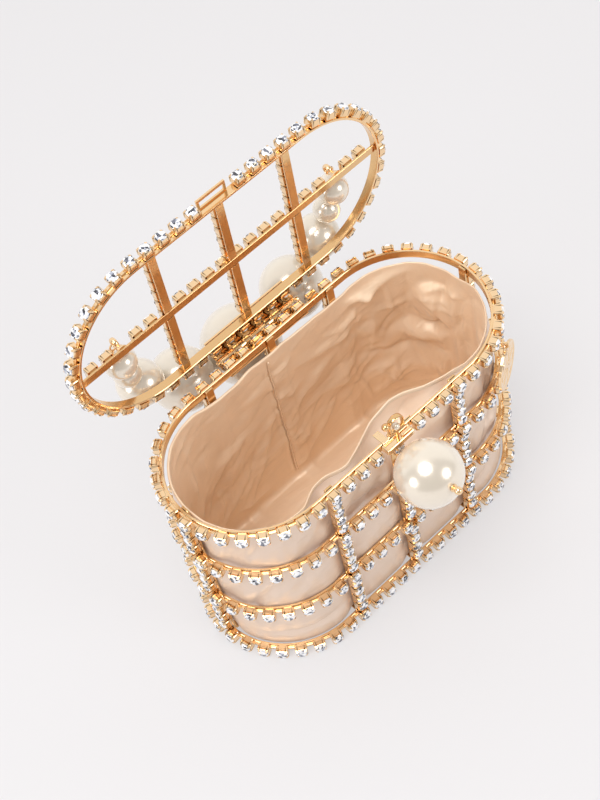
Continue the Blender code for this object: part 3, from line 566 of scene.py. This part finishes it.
def make_band(node, height, shift=0.0, open_front=False, body="cage"):
    """A band with its chain. An open front leaves out the two middle cups and their links."""
    *strip, slots = band_mesh(height)
    pitch, number = band_around / cups_around, np.arange(cups_around)
    cups, links = (number[1:-1], number[2:-1]) if open_front else (number, number)
    chain = [ring_seats(runs * pitch, height + shift) for runs in (cups + 0.5, links)]
    metals = (gilt, gilt_painted_shade, gilt_cup)
    make_chained(node, strip, slots, metals, *chain, pitch - cup_across, body)


def middle_of(node):
    """The middle of a node's box."""
    return np.mean(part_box(node), axis=0)


chain_shifts = {"ring_bottom": 0.0005, "ring_lower": 0.0, "ring_upper": 0.0, "ring_rim": -0.0005}
band_heights = [middle_of(node)[2] for node in chain_shifts]
for (node, shift), height in zip(chain_shifts.items(), band_heights):
    make_band(node, height, shift, open_front=node == "ring_rim")


# Upright bars. Flat strips brazed inside the four bands from floor to rim, each with four
# cups of the same chain, set closer, between one band and the next.
bar_width, bar_thick, bar_bevel = 0.0039, 0.0010, 0.00012


def bar_shape(half_length):
    """A strip along X at the origin: its cut-cornered section, drawn in a little at each end."""
    half_width, half_thick = bar_width / 2, bar_thick / 2
    outline = rounded_rectangle(-half_width, half_width, -half_thick, half_thick, bar_bevel)
    full = half_length - bar_bevel
    rows = ((0.9, -half_length), (1.0, -full), (1.0, full), (0.9, half_length))
    points, faces = stacked(outline, rows)
    return points[:, (2, 0, 1)], faces


def make_bar(node, centre, along, outward, half_length, cup_runs, link_runs, body="cage"):
    """A bar with its chain, whose cups and links stand at distances along it from its middle."""
    centre, along, outward = (np.asarray(way, dtype=float) for way in (centre, along, outward))
    strip = set_along(bar_shape(half_length), centre, along, outward)
    top = centre + outward * bar_thick / 2
    cups, links = ((top + np.outer(runs, along), along, outward) for runs in (cup_runs, link_runs))
    gap = np.diff(np.sort(cup_runs)).min() - cup_across
    make_chained(node, strip, 0, (gilt_painted_shade, gilt_cup), cups, links, gap, body)


def between(low, high, pitch):
    """Evenly spaced places between two others, about a pitch apart, without the ends."""
    return np.linspace(low, high, max(round((high - low) / pitch), 2) + 1)[1:-1]


def midway(places):
    """The places halfway from each to the next."""
    return (places[:-1] + places[1:]) / 2


bay_cups = [between(low, high, bar_cup_pitch) for low, high in zip(band_heights, band_heights[1:])]
upright_cups = np.concatenate(bay_cups)
upright_links = np.concatenate([midway(cups) for cups in bay_cups])
six_bars = [
    (side, sign, name)
    for side, sign in (("front", -1), ("back", 1)) for name in ("left", "middle", "right")
]
uprights = {f"{side}_bar_{name}": (0, sign, 0) for side, sign, name in six_bars}
uprights |= {"end_bar_left": (-1, 0, 0), "end_bar_right": (1, 0, 0)}
# Heights at which the knob's stem crosses the front's middle bar, and its last cup sits.
stem_crossing, clasp_cup_middle = 0.0901, 0.09775
for node, outward in uprights.items():
    low, high = np.array(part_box(node))
    outward = np.array(outward)
    inner_face = np.where(outward > 0, low, high) + outward * bar_thick / 2
    centre = np.where(outward, inner_face, (low + high) / 2)
    cups, links = upright_cups, upright_links
    if node == "front_bar_middle":
        cups = cups[np.abs(cups - stem_crossing) > cup_across]
        cups = np.append(cups[:-1], clasp_cup_middle)
        links = links[links < stem_crossing - cup_across]
    make_bar(node, centre, (0, 0, 1), outward, (high[2] - low[2]) / 2,
             cups - centre[2], links - centre[2])


# Floor bars. Plain strips under the pouch, brazed to the bottom band: one along the bag, which
# it stands on, and three across.
for node in ("floor_bar_long", "floor_bar_left", "floor_bar_middle", "floor_bar_right"):
    low, high = np.array(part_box(node))
    centre, half = (low + high) / 2, (high - low) / 2
    along = np.eye(3)[int(np.argmax(half))]
    strip = set_along(bar_shape(half.max()), centre, along, (0, 0, 1))
    make_piece(f"{node}_gilt", *strip, "cage", (gilt_painted_shade,), "gilt", [node])


# Lid. A band and bars of the same make, drawn shut over the rim and turned open about the
# hinge: one long bar, and three across that stop at it on either side.
lid_gap, lid_bar_rise, bar_end_gap, eye_clear = 0.0004, 0.0013, 0.0003, 0.0055
rim_top = rim_high[2]
lid_low = rim_top + lid_gap
make_band("lid_ring", lid_low + band_height / 2, -chain_shifts["ring_rim"], True, "lid")
lid_bar_middle = lid_low + lid_bar_rise + bar_thick / 2
long_half = np.ptp(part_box("lid_bar_long"), axis=0)[0] / 2
eye_across = middle_of("handle_eye_right")[0]
long_runs = between(-band_half_length, band_half_length, cup_pitch)
long_cups = long_runs[np.abs(np.abs(long_runs) - eye_across) > eye_clear]
make_bar("lid_bar_long", (0, 0, lid_bar_middle), (1, 0, 0), (0, 0, 1), long_half,
         long_cups, midway(long_runs), "lid")
cross_start = bar_width / 2 + bar_end_gap
cross_half = (band_half_width - band_wall - bar_end_gap - cross_start) / 2
cross_runs = between(0, band_half_width, bar_cup_pitch) - cross_start - cross_half
for side, sign, name in six_bars:
    node = f"lid_bar_{side}_{name}"
    centre = (middle_of(node)[0], sign * (cross_start + cross_half), lid_bar_middle)
    make_bar(node, centre, (0, sign, 0), (0, 0, 1), cross_half, cross_runs,
             midway(cross_runs), "lid")


# Pouch. A loose satin bag, sewn to a tube with one seam down the back and hemmed with a folded
# edge, hung inside the cage. It sags in soft folds, and its front lip has fallen inward.
pouch_floor, pouch_corner, seam_share = 0.0031, 0.0030, 0.513
wall_clear, wall_bar_clear, floor_clear, floor_bar_clear = 0.0014, 0.0013, 0.0015, 0.0017
hem_gap, hem_slack, hem_deep, foot_slack = 0.00010, 0.00030, 0.0018, 0.0004
lip_rest, lip_settle, fold_settle, soft_step = 0.0032, 0.010, 0.006, 0.0003
end_fullness, floor_crease, seam_ridge, seam_groove = 0.0022, 0.0010, 0.0006, 0.0011
bar_shares = (0.0, 0.0851, 0.25, 0.4149, 0.5, 0.5851, 0.75, 0.9149)
# The lip: shares of the way round the band from the front's middle to the right, and there its
# height and how far inside the band it stands, in millimetres.
lip_places = np.array((
    (0, 101, 14.8), (0.03, 101, 16.6), (0.045, 101, 15.2), (0.065, 101, 10.5),
    (0.085, 101.5, 7.6), (0.113, 101.5, 5), (0.14, 102, 3.6), (0.2, 102, 3.2),
    (0.228, 101.5, 3.2), (0.25, 100.5, 4.6), (0.272, 100.4, 4), (0.3, 100.6, 3),
    (0.33, 99.8, 2.8), (0.36, 98.8, 2.8), (0.385, 98, 2.8), (0.4, 97, 3.2), (0.45, 97.5, 3.1),
    (0.49, 98.2, 3.1), (0.513, 98, 3.2), (0.533, 99, 3.2), (0.56, 98.2, 4.2),
    (0.585, 98.6, 4.4), (0.61, 100.6, 3.6), (0.65, 102, 3.2), (0.7, 102.2, 3.2),
    (0.75, 102.2, 3.6), (0.8, 102, 3.4), (0.86, 101.6, 3.8), (0.888, 101, 5.2),
    (0.91, 101, 9.8), (0.925, 101, 9.9), (0.94, 101, 7.8), (0.95, 101, 6.8),
    (0.97, 101, 9.6),
))


def bell(value, width):
    """A rounded hill: exp(-(value / width)^2)."""
    return np.exp(-((value / width) ** 2))


def lip_at(share, column):
    """The lip's height or inset at shares round the band: straight runs between listed places,
    rounded off by averaging over a little way to either side."""
    reach = np.linspace(-0.010, 0.010, 9)[:, None]
    weight = bell(reach, 0.005)
    runs = np.interp(share + reach, lip_places[:, 0], lip_places[:, column], period=1)
    return (runs * weight).sum(axis=0) / weight.sum() / 1000


def near(share, middle, width):
    """A rounded hill round the band, the short way round."""
    return bell(np.mod(share - middle + 0.5, 1) - 0.5, width)


def by_bars(share):
    """1 where the satin lies against an upright bar, falling to 0 in the bays between them."""
    return np.minimum(1, 1.3 * sum(near(share, place, 0.012) for place in bar_shares))


# Folds: where each begins and ends (share round, height in millimetres), how far it bows to
# the side, half its breadth, and how far it stands into the bag, or out of it below nought.
hand_folds = (
    (0.396, 91, 0.374, 87, 0, 4, 3.4), (0.376, 87, 0.318, 98, 1, 4.2, 3.6),
    (0.3, 80, 0.283, 71, 0, 11, 5.5), (0.284, 90, 0.318, 82, -2, 5, -2.4),
    (0.322, 80, 0.346, 56, 3, 5, -3), (0.32, 66, 0.302, 57, -2, 3, -3.2),
    (0.302, 57, 0.284, 65, -2, 3, -3.2), (0.328, 52, 0.276, 55, -3, 6, 3.8),
    (0.384, 46, 0.296, 45, -3, 3.6, -2.6), (0.372, 28, 0.292, 24, 2, 9, 4.2),
    (0.262, 92, 0.262, 26, 3, 7, 4), (0.246, 84, 0.24, 30, -2, 4, -2),
    (0.37, 68, 0.352, 40, -3, 5.5, 3.2), (0.392, 80, 0.402, 50, 2, 6, -1.8),
    (0.222, 96, 0.212, 40, 2, 6, 3), (0.196, 90, 0.19, 30, -2, 6, 2.4),
    (0.43, 34, 0.386, 70, 3, 6, 1.6), (0.47, 22, 0.412, 52, 2, 5, 1.6),
    (0.5, 12, 0.44, 36, -2, 4, 1.4), (0.56, 60, 0.528, 84, 2, 7, 1.5),
    (0.61, 28, 0.566, 62, 3, 7, 2.2), (0.64, 20, 0.616, 70, 2, 6, 2.2),
    (0.672, 26, 0.654, 74, -3, 6, 2.4), (0.592, 66, 0.566, 88, 2, 6, -1.2),
    (0.64, 82, 0.6, 96, 2, 6, 1.4), (0.6, 14, 0.552, 9, 0, 2.6, 1.6),
    (0.905, 92, 0.86, 40, 4, 7, 2.6), (0.96, 86, 0.93, 30, 3, 7, 2.4),
    (0.04, 90, 0.07, 36, -4, 8, 2.8), (0.12, 92, 0.1, 40, 3, 6, 2.2),
    (0.8, 90, 0.77, 30, 3, 7, 2.4), (0.73, 88, 0.716, 34, 2, 6, 2.2),
    (0.84, 60, 0.79, 30, 2, 4, 1.8), (0, 60, 0.04, 28, 2, 5, 2),
)
fold_chance = np.random.default_rng(11)
fold_around = 423.0  # the way round the band, in millimetres


def chance_folds(count, shares, heights, slope, lengths, breadths, rises):
    """Small wrinkles at random places in a range, about a slope, with random sizes."""
    draw = fold_chance.uniform
    share, height = draw(*shares, count), draw(*heights, count)
    angle = np.radians(fold_chance.normal(*slope, count))
    length = draw(*lengths, count)
    rise = draw(*rises, count) * fold_chance.choice((1, 1, -1), count)
    return np.column_stack((
        share, height, share + length * np.cos(angle) / fold_around, height + length * np.sin(angle),
        draw(-0.08, 0.08, count) * length, draw(*breadths, count), rise,
    ))


# After the listed folds: the back wall, its foot, the right end, the puckers along the seam,
# the left end, and the front.
all_folds = np.vstack((
    np.array(hand_folds) * (1, 1, 1, 1, 1, 1, 1.15),
    chance_folds(64, (0.41, 0.68), (30, 98), (166, 14), (14, 40), (1.8, 4.2), (0.40, 1.25)),
    chance_folds(26, (0.43, 0.68), (8, 44), (138, 14), (14, 36), (1.8, 4.0), (0.60, 1.5)),
    chance_folds(50, (0.24, 0.41), (8, 94), (130, 40), (10, 26), (1.5, 3.2), (0.50, 1.4)),
    chance_folds(30, (0.509, 0.520), (8, 96), (168, 7), (6, 14), (0.9, 1.5), (0.60, 1.1)),
    chance_folds(26, (0.60, 0.76), (8, 96), (110, 25), (14, 36), (1.6, 3.4), (0.45, 1.1)),
    chance_folds(70, (0.74, 1.22), (6, 96), (40, 22), (18, 46), (2.4, 5.5), (0.9, 2.4)),
))


def folds(share, height):
    """How far the satin stands in, in millimetres. Each fold is a stroke with a soft crest,
    rise exp(0.5 - 1.7 sqrt((off / breadth)^2 + 0.09)), softer on a broad one, that fades past
    its two ends, and they are added up."""
    total = np.zeros(np.broadcast_shapes(share.shape, height.shape))
    for first, low, last, high, bow, breadth, rise in all_folds:
        run = np.array(((last - first) * fold_around, high - low))
        length = np.hypot(*run)
        across = (np.mod(share - first + 0.5, 1) - 0.5) * fold_around
        along = (across * run[0] + (height - low) * run[1]) / length**2
        off = (across * run[1] - (height - low) * run[0]) / length - bow * (1 - (2 * along - 1) ** 2)
        past = np.maximum(np.abs(along - 0.5) - 0.28, 0) * length
        softness = 0.09 if breadth < 4.5 else 0.30
        crest = 0.5 - 1.7 * np.sqrt((off / breadth) ** 2 + softness)
        total += rise * np.exp(crest - (past / (0.16 * length + breadth)) ** 2)
    return total


def at_least(value, least):
    """The larger of two lengths, with a change between them that a soft step s rounds:
    least + s ln(1 + exp((value - least) / s))."""
    return least + np.logaddexp(0, (value - least) / soft_step) * soft_step


def satin_place(share, rows):
    """The satin's outer face at shares round and rows down. Rows 0 to 1 are the hem, folded
    outward over the lip, 1 to 2 the wall, 2 to 3 the corner and 3 to 4 the floor. The wall stands
    in by foot + (inset - foot) bell(fall, settle), and the folds are added to it."""
    height, inset = lip_at(share, 1), lip_at(share, 2)
    flutter = 0.00014 * np.sin(2 * np.pi * 23 * share) + 0.00012 * np.sin(2 * np.pi * 41 * share + 1)
    height = height + flutter * (1 - near(share, 0.02, 0.08))
    hem_out = hem_gap + hem_slack * near(share, 0.56, 0.2)
    hem, wall, turn, under = (np.clip(rows - first, 0, 1) for first in range(4))
    roll = np.pi * np.clip(hem * 1.6 - 0.6, 0, 1)
    flap = np.clip(1 - hem / 0.375, 0, 1)
    corner = turn * np.pi / 2
    nearest = wall_clear + wall_bar_clear * by_bars(share)
    low = floor_clear + floor_bar_clear * by_bars(share)
    fall = wall * (height - low - pouch_corner)
    foot = nearest + foot_slack
    settle = lip_settle + 0.9 * np.maximum(inset - lip_rest, 0)
    rest = foot + (inset - foot) * bell(fall, settle)
    fade = np.cos(np.clip((wall - 0.88) / 0.12, 0, 1) * np.pi / 2)
    fullness = end_fullness * near(share, 0.30, 0.09) * (1 - bell(fall, 0.014))
    give = (1 - bell(fall, fold_settle)) * fade
    ridge = seam_ridge * near(share, seam_share + 0.0032, 0.0015)
    seam = ridge - seam_groove * near(share, seam_share, 0.0014)
    folded = folds(share, 1000 * (height - fall)) / 1000 - 0.0003 + seam
    stands_in = rest + fullness * fade + give * folded
    foot = at_least(foot, nearest)
    inward = np.where(
        rows <= 2, at_least(stands_in, nearest) - hem_out * (1 + np.cos(roll)),
        foot + pouch_corner * (1 - np.cos(corner)) + under * (band_half_width - foot - pouch_corner),
    )
    crease = floor_crease * (0.5 + 0.5 * np.cos(2 * np.pi * (9 * share + 1.3 * under))) ** 3
    level_here = np.where(
        rows <= 2, height - fall + hem_out * np.sin(roll) - hem_deep * flap,
        low + pouch_corner * (1 - np.sin(corner)) + np.sin(np.pi * under) * crease
        + (pouch_floor + 0.0003 - low) * np.minimum(under / 0.12, 1),
    )
    points, outward = stadium(share * band_around)
    place = points - outward * inward[..., None]
    place[..., 2] = level_here
    return place


satin_weave, weave_in, weave_out = new_group(
    "satin_weave", {"Light": "Color", "Shade": "Color"}, {"Color": "Color", "Normal": "Vector"}
)
satin_from = own_places(satin_weave)
satin_lay = add_node(
    satin_weave, "ShaderNodeMapping",
    {"Vector": satin_from, "Rotation": (0.0, math.radians(28), 0.0), "Scale": (0.35, 1.0, 1.0)},
).outputs[0]
satin_tone = add_mix(satin_weave, add_clouds(satin_weave, satin_from, 28.0),
                     weave_in["Light"], weave_in["Shade"])
satin_wrinkle = add_clouds(satin_weave, satin_lay, 110.0, 3.0, Distortion=0.6)
satin_crumple = add_dents(satin_weave, satin_wrinkle, 0.55, 0.0016)
satin_thread = add_clouds(satin_weave, satin_lay, 2600.0, 1.0)
feed(satin_weave, weave_out, {
    "Color": satin_tone,
    "Normal": add_dents(satin_weave, satin_thread, 0.12, 0.0001, Normal=satin_crumple),
})


def woven(name, light, shade, painted_glow):
    """A satin between two close tones, with a soft sheen, and one more, warmer tone as painted
    light where its lip leans in, for the light that comes through the thin satin there."""
    material, tree, shader = new_material(
        name, Roughness=0.42, Metallic=0.20, Sheen_Weight=0.15, Sheen_Roughness=0.35,
        Specular_IOR_Level=0.55,
    )
    tones = {"Light": (*light, 1), "Shade": (*shade, 1)}
    weave = add_node(tree, "ShaderNodeGroup", tones, node_tree=satin_weave).outputs
    tone = add_mix(tree, mark_of(tree, "lean"), weave["Color"], (*painted_glow, 1))
    feed(tree, shader, {"Base Color": tone, "Normal": weave["Normal"]})
    return material


# The third tone is painted light through the leaning lip; inside, it is the same as the light tone.
satin = woven("satin_inside", (0.92, 0.735, 0.55), (0.86, 0.645, 0.45), (0.92, 0.735, 0.55))
satin_out = woven("satin_outside", (0.80, 0.65, 0.54), (0.77, 0.61, 0.50), (1.0, 0.77, 0.58))
satin_shares = np.concatenate((
    np.arange(0.240, 0.700, 0.0018), np.arange(0.700, 1.240, 0.0036)
))
seam_steps = seam_share + np.array(
    (-0.0024, -0.0015, -0.0008, 0.0, 0.0008, 0.0015, 0.0024, 0.0032, 0.0042)
)
clear = np.abs(satin_shares[:, None] - seam_steps).min(axis=1) > 0.0005
satin_shares = np.sort(np.append(satin_shares[clear], seam_steps))
satin_rows = np.unique(np.concatenate([
    first + np.linspace(0, 1, count) for first, count in enumerate((8, 85, 5, 11))
]))[:, None]
satin_grid = satin_place(satin_shares, satin_rows)
pouch = add_mesh(
    "pouch_satin", satin_grid.reshape(-1, 3), grid_faces(len(satin_rows), len(satin_shares))[:, ::-1]
)
# Where the front lip leans in: the share of painted light through the satin.
painted_glow = near(satin_shares, 0.03, 0.085) * bell(np.maximum(satin_rows - 1, 0), 0.26)
keep_marks(pouch, "lean", "POINT", painted_glow)
pouch.data.materials.append(satin_out)
pouch.data.materials.append(satin)
merge_doubles(pouch, 0.00002, turn_out=False)
cloth = pouch.modifiers.new("Cloth thickness", "SOLIDIFY")
cloth.thickness = 0.00025
cloth.offset = -1
cloth.material_offset = 1
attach(pouch, "cage")
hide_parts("pouch")

seam_thick, seam_inward = 0.00042, 0.00125


def tube(path, radius, aside, sides, flat=1.0):
    """A closed round bar along a path in one plane, whose normal is aside: at each step
    p + r (cos(b) aside + sin(b) across), flattened across by a share, with both ends closed."""
    aside = np.array(aside) / np.linalg.norm(aside)
    across = np.cross(np.gradient(path, axis=0), aside)
    across /= np.linalg.norm(across, axis=1, keepdims=True)
    angle = np.linspace(0, 2 * np.pi, sides, endpoint=False)[:, None]
    rows = path[:, None] + radius * (
        np.cos(angle) * aside + flat * np.sin(angle) * across[:, None]
    )
    points = np.vstack((rows.reshape(-1, 3), path[:1], path[-1:]))
    return points, capped_faces(len(path), sides)


seam_rows = np.linspace(1.02, 1.97, 110)[:, None]
seam_path = satin_place(np.array([seam_share]), seam_rows)[:, 0] - (0, seam_inward, 0)
seam_cord = tube(seam_path, seam_thick, (1, 0, 0), 8)
make_piece("pouch_seam", *seam_cord, "cage", (satin,), "satin", sharp=180)


# Strand. Nine graded pearls with a small gilt bead in each space, on one wire between the
# two eyes on the lid. Each is glass with a nacre coat, warm grey face on, and made white at its edge by
# a painted sheen.
pearl, pearl_tree, pearl_shader = new_material(
    "pearl", Roughness=0.24, Metallic=0.46, Coat_Weight=0.8, Coat_Roughness=0.11, Coat_IOR=1.7,
)
pearl_from = own_places(pearl_tree)
pearl_tone = add_mix(pearl_tree, add_clouds(pearl_tree, pearl_from, 45.0, 3.0),
                     (0.79, 0.72, 0.62, 1), (0.73, 0.645, 0.53, 1))
# Painted sheen: the colour goes white towards the pearl's outline.
pearl_painted_sheen = add_node(pearl_tree, "ShaderNodeLayerWeight", {"Blend": 0.42}).outputs["Facing"]
pearl_skin = add_clouds(pearl_tree, pearl_from, 1400.0)
feed(pearl_tree, pearl_shader, {
    "Base Color": add_mix(pearl_tree, pearl_painted_sheen, pearl_tone, (1.0, 0.92, 0.79, 1)),
    "Normal": add_dents(pearl_tree, pearl_skin, 0.05, 0.0001),
})


def turned(profile, columns):
    """A profile of (radius, height) pairs turned about Z: x = r cos(a) and y = r sin(a)."""
    return stacked(circle(np.linspace(0, 2 * np.pi, columns, endpoint=False)), profile)


def ball(radius, columns, rows, dish=0.0):
    """A ball: r sin(b) and r cos(b), with r smaller by a share, the dish, at its two poles."""
    polar = np.linspace(0.06, np.pi - 0.06, rows)
    dished = bell(polar, 0.12) + bell(np.pi - polar, 0.12)
    reach = radius * (1 - dish * dished)
    return turned(np.column_stack((reach * np.sin(polar), reach * np.cos(polar))), columns)


def frame_along(direction):
    """A direction's unit vector, after one that is square to it and to Y."""
    direction = direction / np.linalg.norm(direction)
    side = np.cross(direction, (0, 1, 0))
    return side / np.linalg.norm(side), direction


side_pearls, middle_pearl = (0.0147, 0.0128, 0.0218, 0.0306), 0.0382
pearl_diameters = (*side_pearls, middle_pearl, *side_pearls[::-1])
pearl_middles = np.array([middle_of(f"handle_pearl_{n}") for n in range(1, 10)])
spacer_radius, spacer_stand = 0.00105, 0.0008
spacers = []
for n, (centre, diameter) in enumerate(zip(pearl_middles, pearl_diameters), 1):
    strung = frame_along(pearl_middles[min(n, 8)] - pearl_middles[max(n - 2, 0)])
    shape = set_along(ball(diameter / 2, 56, 32, 0.03), centre, *strung)
    make_piece(f"strand_pearl_{n}", *shape, "handle", (pearl,), "pearl", [f"handle_pearl_{n}"], 60)
    if n < 9:
        side, ahead = frame_along(pearl_middles[n] - centre)
        seat = centre + ahead * (diameter / 2 + spacer_stand)
        spacers.append(set_along(ball(spacer_radius, 14, 8), seat, side, ahead))
make_piece("strand_spacers", *join(*spacers), "handle", (gilt_cup,), "gilt", sharp=60)


# Eyes. A thick gilt loop on a short foot at each end of the lid's long bar, for the end rings.
# Its foot is turned and brazed down, and its ring is bent round and closed on it.
eye_radius, eye_wire, eye_rise = 0.00190, 0.00110, 0.0058
seat_height, facing_up = lid_bar_middle + bar_thick / 2, ((1, 0, 0), (0, 0, 1))
loop = np.linspace(0, 2 * np.pi, 29)
foot_profile = (
    (0.0027, 0.0), (0.0027, 0.0005), (0.0022, 0.0012), (0.0014, 0.0028), (0.0010, 0.0043)
)
for name, sign in (("left", -1), ("right", 1)):
    across = sign * eye_across
    ring_path = np.column_stack((
        np.full(len(loop), across), eye_radius * np.sin(loop),
        seat_height + eye_rise + eye_radius * np.cos(loop),
    ))
    foot = set_along(turned(foot_profile, 16), (across, 0, seat_height), *facing_up)
    eye = join(tube(ring_path, eye_wire, (1, 0, 0), 12, 0.70), foot)
    make_piece(
        f"handle_eye_{name}_gilt", *eye, "lid", (gilt_cup,), "gilt", [f"handle_eye_{name}"], 50
    )


# Knob. One large pearl on a turned stem that is riveted through the front middle bar, with a
# collar against the pearl and a small ball at its tip.
knob_tilt, knob_radius, tip_radius = math.radians(16), 0.0148, 0.0018
knob_way = np.array((0, -math.cos(knob_tilt), math.sin(knob_tilt)))
knob_seat = (middle_of("knob_pearl"), (1, 0, 0), knob_way)
make_piece(
    "knob_pearl_polished", *set_along(ball(knob_radius, 96, 56, 0.02), *knob_seat), "cage", (pearl,),
    "pearl", ["knob_pearl"], 60,
)
tip_angle = np.linspace(0.25, np.pi - 0.45, 12)
stem_profile = [
    *zip(tip_radius * np.sin(tip_angle), 0.01764 + tip_radius * np.cos(tip_angle)),
    (0.0008, 0.0158), (0.0008, 0.0154), (0.0017, 0.0152), (0.0017, 0.01475), (0.0008, 0.0147),
    (0.0008, -0.02305), (0.0013, -0.02305), (0.0013, -0.02345),
]
stem = set_along(turned(stem_profile, 24), *knob_seat)
make_piece("knob_stem_gilt", *stem, "cage", (gilt_cup,), "gilt", ["knob_stem"], 40)


# Clasp. A shallow gilt tray on the rim's outside with a raised lip and a rounded stop in it,
# and a tab folded in over the rim. The key's shaft turns in it.
def tray_shape(half, rows, power=0.12):
    """Squared ovals, |cos|^power and |sin|^power, stacked from the underside up and in: half
    widths less an inset, at a height, for each row."""
    side = circle(np.radians(np.arange(7.5, 367.5, 15)))
    oval = np.sign(side) * np.abs(side) ** power
    return stacked(oval, [(np.array(half) - inset, height) for inset, height in rows])


housing_low, housing_high = np.array(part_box("clasp_housing"))
housing_half = (housing_high - housing_low) / 2
housing_middle = (housing_high + housing_low) / 2
tall = 2 * housing_half[2]
tray_rows = (
    (0.0004, 0.0), (0.0, 0.0004), (0.0, tall - 0.0002), (0.0002, tall), (0.0006, tall),
    (0.0008, tall - 0.0002), (0.0009, tall - 0.0010),
)
stop_half, stop_across, stop_sunk = (0.0029, 0.0009), 0.0046, 0.0011
stop_rows = ((0.0, 0.0), (0.0, 0.0009), (0.0002, 0.0012), (0.0005, 0.0013))
tab_half, tab_place, tab_clear = (0.0017, 0.0034), (-0.0048, -0.0362), 0.00002
tab_rows = ((0.0001, 0.0), (0.0, 0.0001), (0.0, 0.00022), (0.0001, 0.00032))
tray = tray_shape(housing_half[:2], tray_rows), (*housing_middle[:2], housing_low[2])
stop = tray_shape(stop_half, stop_rows, 0.4), (
    stop_across, housing_middle[1], housing_high[2] - stop_sunk
)
tab = tray_shape(tab_half, tab_rows), (*tab_place, rim_top + tab_clear)
clasp = join(*(set_along(shape, place, *facing_up) for shape, place in (tray, stop, tab)))
make_piece("clasp_tray", *clasp, "cage", (gilt_cup,), "gilt", ["clasp_housing"], 40)


# Key. A crossbar under an arch of flat strip, with a ball on its shoulder for the finger, on a
# shaft through the tray that is peened over a washer. A small pearl sits under the arch.
key_y, key_base = joints["key_turn"]["pos_m"][1:]
shaft_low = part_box("turn_key")[0][2] - key_base
shaft_radius, peen_radius, neck_radius = 0.00075, 0.0013, 0.0007
arch_radius, arch_spring, arch_foot, arch_breadth = 0.0037, 0.0061, 0.0010, 0.0013
crossbar_half, finger_radius = (0.0042, 0.00085), 0.0017
finger_place, neck_place = (-0.0051, 0, 0.0082), (-0.0030, 0, 0.0078)
crossbar_rows = ((0.0002, 0), (0, 0.0002), (0, 0.0014), (0.0003, 0.0016))
arch_turn = np.linspace(0, np.pi, 25)
arch_path = np.vstack((
    [(arch_radius, 0.0, arch_foot)],
    np.column_stack((
        arch_radius * np.cos(arch_turn), np.zeros(25), arch_spring + arch_radius * np.sin(arch_turn)
    )),
    [(-arch_radius, 0.0, arch_foot)],
))
crossbar = tray_shape(crossbar_half, crossbar_rows, 0.3)
arch = tube(arch_path, arch_breadth, (0, 1, 0), 16, 0.27)
small_ball, facing_right = ball(finger_radius, 32, 18), ((0, 1, 0), (1, 0, 0))
finger_ball = set_along(small_ball, finger_place, *facing_right)
neck = turned(((neck_radius, -0.0016), (neck_radius, 0.0006)), 14)
neck = set_along(neck, neck_place, *facing_right)
shaft = turned((
    (0.0010, shaft_low), (peen_radius, shaft_low + 0.0003), (peen_radius, shaft_low + 0.0008),
    (shaft_radius, shaft_low + 0.0009), (shaft_radius, 0.0005),
), 20)
points, faces = join(crossbar, arch, finger_ball, neck, shaft)
make_piece(
    "turn_key_gilt", points + (0, key_y, key_base), faces, "turn_key", (gilt_painted_shade,), "gilt",
    ["turn_key"], 40,
)
bead = set_along(small_ball, middle_of("turn_key_bead"), *facing_up)
make_piece("turn_key_pearl", *bead, "turn_key", (pearl,), "pearl", ["turn_key_bead"], 60)


# Medallion. A struck disc with a raised border and a rosette of eight petals on both faces, on
# a wire bail that hangs in the lug.
pivot, swing_axis = (np.array(joints["medallion_swing"][key]) for key in ("pos_m", "axis"))
disc_way = np.cross(swing_axis, (0, 0, 1))
disc_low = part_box("medallion")[0][2]
disc_radius, edge_half, pole_half, bail_radius, bail_wire = 0.0115, 0.0005, 0.00065, 0.0016, 0.00045
disc_half, border_high, boss_high, petal_high = 0.00040, 0.00028, 0.00025, 0.00030
border_at, boss_at, petal_from, petal_to = 0.0101, 0.0016, 0.0024, 0.0088
disc_angle = np.linspace(0, 2 * np.pi, 96, endpoint=False)
disc_ring = circle(disc_angle)


def disc_face(reach):
    """Half the disc's thickness at a distance from its middle: a border and a boss, each a step
    high / (1 + exp(-(reach - at) / softness)), and eight petals, a raised cos^2(4 a) between two
    circles."""
    border = border_high / (1 + np.exp(-(reach - border_at) / 0.00008))
    boss = boss_high / (1 + np.exp((reach - boss_at) / 0.0001))
    petals = np.cos(4 * disc_angle) ** 2 * (reach > petal_from) * (reach < petal_to)
    relief = petal_high / (1 + np.exp(-(petals - 0.45) / 0.06)) * (petals > 0)
    return disc_half + border + boss + relief


reaches = np.concatenate((np.linspace(0.0004, 0.0104, 46), [0.0109, 0.0113]))
front_rows = [np.column_stack((reach * disc_ring, disc_face(reach))) for reach in reaches]
back_rows = [rows * (1, 1, -1) for rows in front_rows]
edge_rows = [
    np.column_stack((disc_radius * disc_ring, np.full(96, height))) for height in (-edge_half, edge_half)
]
poles = [(0, 0, -pole_half), (0, 0, pole_half)]
disc_points = np.vstack((*back_rows, *edge_rows, *front_rows[::-1], poles))
disc = (disc_points, capped_faces(2 * len(reaches) + 2, 96))
disc = set_along(disc, (*pivot[:2], disc_low + disc_radius), swing_axis, disc_way)
bail_path = pivot + bail_radius * (
    np.sin(loop)[:, None] * swing_axis + (np.cos(loop)[:, None] - 1) * np.array((0, 0, 1))
)
struck = join(disc, tube(bail_path, bail_wire, disc_way, 10))
make_piece("medallion_struck", *struck, "medallion", (gilt_cup,), "gilt", ["medallion"], 40)


# Kept pieces. Hinge, catch plate, rivet, washer, lug, wire and end rings stay as they were
# modelled, and only take the finishes.
kept_finishes = {"gilt": gilt, "silver": silver, "pearl": pearl, "satin": satin, "crystal": crystal}
for part in frame["record"]["subparts"]:
    node = frame["nodes"][part["node"]]
    for slot in node.material_slots:
        slot.material = kept_finishes[part["material_slot"]]
